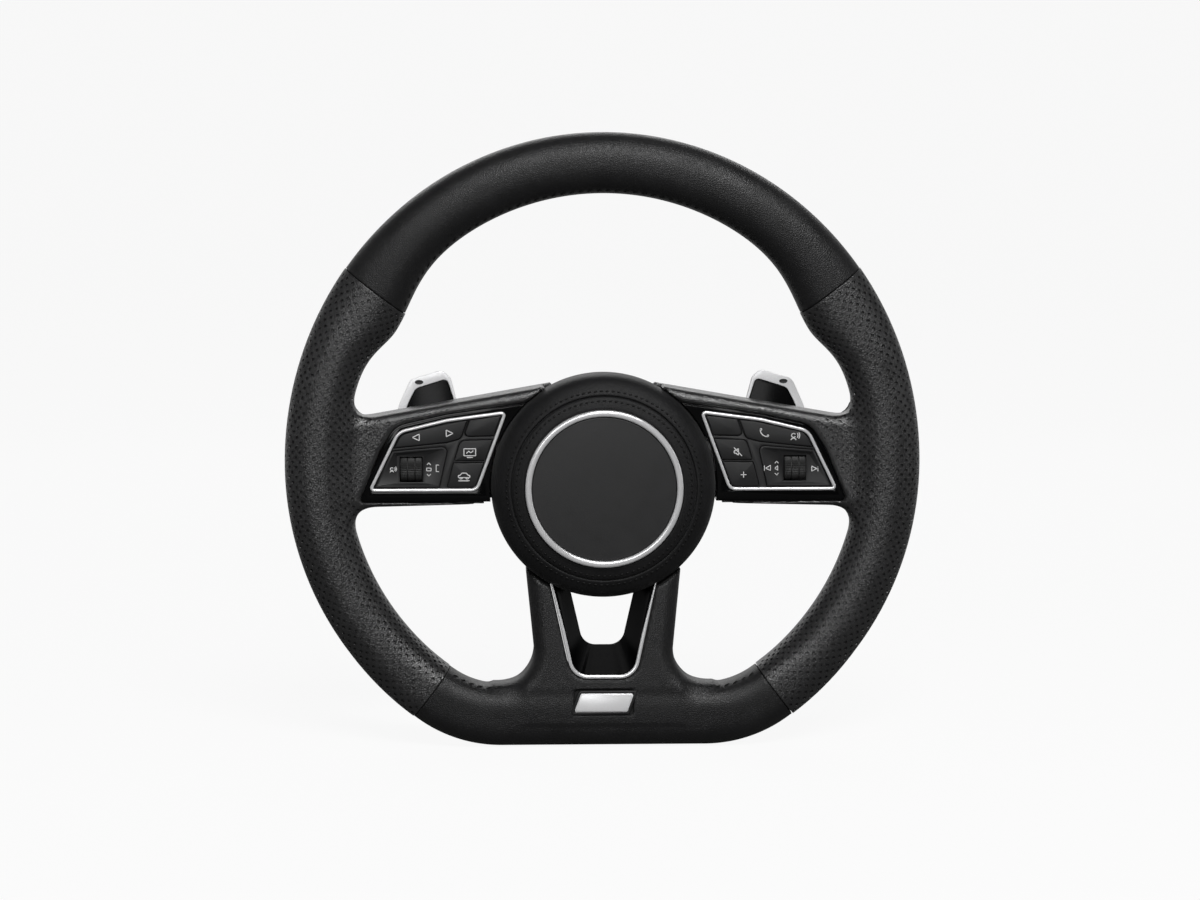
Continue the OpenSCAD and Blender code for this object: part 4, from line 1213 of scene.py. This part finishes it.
def front_of(host):
    """Depth finder for the front of a piece: y in mm at x and z in mm, or None beside it."""
    tree = BVHTree.FromPolygons(
        [v.co for v in host.data.vertices], [p.vertices[:] for p in host.data.polygons])

    def found(x, z):
        hit = tree.ray_cast(Vector((x * MM, -0.12, z * MM)), Vector((0, 1, 0)))[0]
        return hit.y / MM if hit else None
    return found


def stroke_mesh(host, strokes, x0, z0, width=0.5, step=0.7):
    """Flat strokes laid on the front of a piece, each a thin closed strip."""
    front = front_of(host)
    points, faces = [], []
    for path in strokes:
        path = np.array(path, float) + (x0, z0)
        run = run_of(path)
        at = np.union1d(run, np.linspace(0, run[-1], max(2, int(run[-1] / step) + 1)))
        line = sampled(at, run, path)
        ahead = unit_rows(np.gradient(line, axis=0))
        across = np.stack([-ahead[:, 1], ahead[:, 0]], 1) * width / 2
        base = len(points)
        for c, w in zip(line, across):
            y = front(*c)
            y = -KEY_FRONT if y is None else y
            for q, lift in ((c + w, -0.04), (c - w, -0.04), (c - w, 0.12), (c + w, 0.12)):
                points.append((q[0], y + lift, q[1]))
        faces += [[base + i for i in face] for face in tube_faces(len(line), 4)]
    return facing_out(new_mesh("sign", points, faces))


for name, host, strokes, x, z in (
    ("arrow_left", "left_rocker", ARROW, -108.6, 16.5),
    ("arrow_right", "left_rocker", flipped(ARROW), -89.4, 18.8),
    ("screen", "left_middle_key", SCREEN, -77.6, 7.4),
    ("car", "left_lower_key", CAR, -81.0, -6.2),
    ("speech", "left_tilt_plate", SMALL_SPEECH, -122.3, -2.6),
    ("steps", "left_tilt_plate", STEPS, -101.4, -2.4),
    ("bracket", "left_tilt_plate", BRACKET, -96.4, -1.6),
    ("handset", "right_rocker", HANDSET, 93.0, 18.4),
    ("speech_call", "right_rocker", SPEECH, 111.2, 16.2),
    ("mute", "right_middle_key", MUTE, 78.2, 7.4),
    ("plus", "right_lower_key", PLUS, 81.5, -6.0),
    ("skip_back", "right_tilt_plate", SKIP, 95.6, -2.2),
    ("louder", "right_tilt_plate", LOUDER, 100.9, -2.4),
    ("skip_on", "right_tilt_plate", flipped(SKIP), 123.0, -2.8),
):
    mesh = stroke_mesh(skins[host], strokes, x, z, 0.45 if "tilt" in host else 0.52)
    piece(name + "_sign", mesh, PRINT, host + "_body")


def oval_socket(host, x0, z0, half_l, half_h, n=24):
    """Dished oval insert set in the front of a piece."""
    face = front_of(host)(x0, z0)
    rings = ((0.95, 0.6), (1.0, 0.0), (0.95, -0.28), (0.8, -0.26), (0.4, -0.12))
    points = [
        (x0 + share * half_l * math.cos(a), face + y, z0 + share * half_h * math.sin(a))
        for share, y in rings for a in np.linspace(0, 2 * math.pi, n, endpoint=False)
    ]
    return facing_out(new_mesh("oval", points, tube_faces(len(rings), n)))


for side, across in (("left", -1), ("right", 1)):
    socket = oval_socket(skins[side + "_paddle"], across * SOCKET_X, SOCKET_Z, 2.5, 1.3)
    piece(side + "_paddle_socket", socket, MATT, side + "_paddle_body")


# Studio: pale floor and backdrop, soft lamps

def emptied(block):
    """Adds nodes to a material or a world, whose first nodes are taken out."""
    block.use_nodes = True
    block.node_tree.nodes.clear()
    return partial(add_node, block.node_tree)


def mixed(add, share, a, b):
    return add("ShaderNodeMixShader", {0: share, 1: a, 2: b}).outputs[0]


def studio():
    """Floor and backdrop: pale to the camera, dim to other rays, with a paler back for gloss."""
    depth, height, bend, wide = 2.6, 3.4, 0.9, 5.0
    floor_z = -FLAT_DROP * MM
    profile = [(-3.0, floor_z), (depth - bend, floor_z)]
    for i in range(1, 13):
        a = math.radians(90 * i / 12)
        profile.append((depth - bend + bend * math.sin(a), floor_z + bend - bend * math.cos(a)))
    profile.append((depth, floor_z + height))
    points = [(x, y, z) for x in (-wide, wide) for y, z in profile]
    n = len(profile)
    mesh = new_mesh("floor", points, [(i, i + 1, n + i + 1, n + i) for i in range(n - 1)], 1.0)
    for p in mesh.polygons:
        p.use_smooth = True
    pale = bpy.data.materials.new("pale floor")
    add = emptied(pale)
    path = add("ShaderNodeLightPath").outputs
    glow, seen_floor, lit_floor = (add(kind, {"Color": (v, v, v, 1)}).outputs[0] for kind, v in (
        ("ShaderNodeEmission", 1), ("ShaderNodeBsdfDiffuse", 0.75), ("ShaderNodeBsdfDiffuse", 0.12)))
    axis = add("ShaderNodeSeparateXYZ", {"Vector": add("ShaderNodeTexCoord").outputs["Object"]})
    behind = add("ShaderNodeMapRange", {
        "Value": axis.outputs["Y"], "From Min": 0.1, "From Max": 0.9, "To Min": 0.0, "To Max": 0.4,
    }).outputs["Result"]
    in_gloss = add("ShaderNodeMath", {0: path["Is Glossy Ray"], 1: behind}, operation="MULTIPLY")
    direct = add("ShaderNodeMath", {
        0: path["Is Camera Ray"], 1: path["Is Transmission Ray"],
    }, operation="MAXIMUM")
    to_rest = mixed(add, in_gloss.outputs[0], lit_floor, glow)
    to_camera = mixed(add, 0.92, seen_floor, glow)
    add("ShaderNodeOutputMaterial", {"Surface": mixed(add, direct.outputs[0], to_rest, to_camera)})
    mesh.materials.append(pale)
    floor = linked("floor", mesh)

    world = bpy.data.worlds.new("studio")
    scene.world = world
    add = emptied(world)
    dim, white = (
        add("ShaderNodeBackground", {"Color": (1, 1, 1, 1), "Strength": strength}).outputs[0]
        for strength in (0.03, 0.97)
    )
    seen = add("ShaderNodeLightPath").outputs["Is Camera Ray"]
    add("ShaderNodeOutputWorld", {"Surface": mixed(add, seen, dim, white)})


def lamp(name, place, target, size, power):
    data = bpy.data.lights.new(name, "AREA")
    data.shape = "RECTANGLE"
    data.size, data.size_y = size
    data.energy = power
    obj = bpy.data.objects.new(name, data)
    scene.collection.objects.link(obj)
    obj.location = place
    obj.rotation_euler = (Vector(target) - Vector(place)).to_track_quat("-Z", "Y").to_euler()
    obj.visible_camera = False


studio()
lamp("key softbox", (0.35, -1.7, 1.65), (0, 0, 0), (1.2, 0.8), 42)
lamp("front card", (-0.3, -2.3, 0.45), (0, 0, 0), (1.0, 0.6), 8.5)
lamp("rear softbox", (0, 1.7, 0.9), (0, 0, 0), (1.8, 0.6), 8)
lamp("left strip", (-1.7, -0.7, 0.3), (0, 0, 0), (0.3, 1.2), 1.5)
lamp("right strip", (1.7, -0.7, 0.3), (0, 0, 0), (0.3, 1.2), 2)

scene.view_settings.view_transform = "Standard"
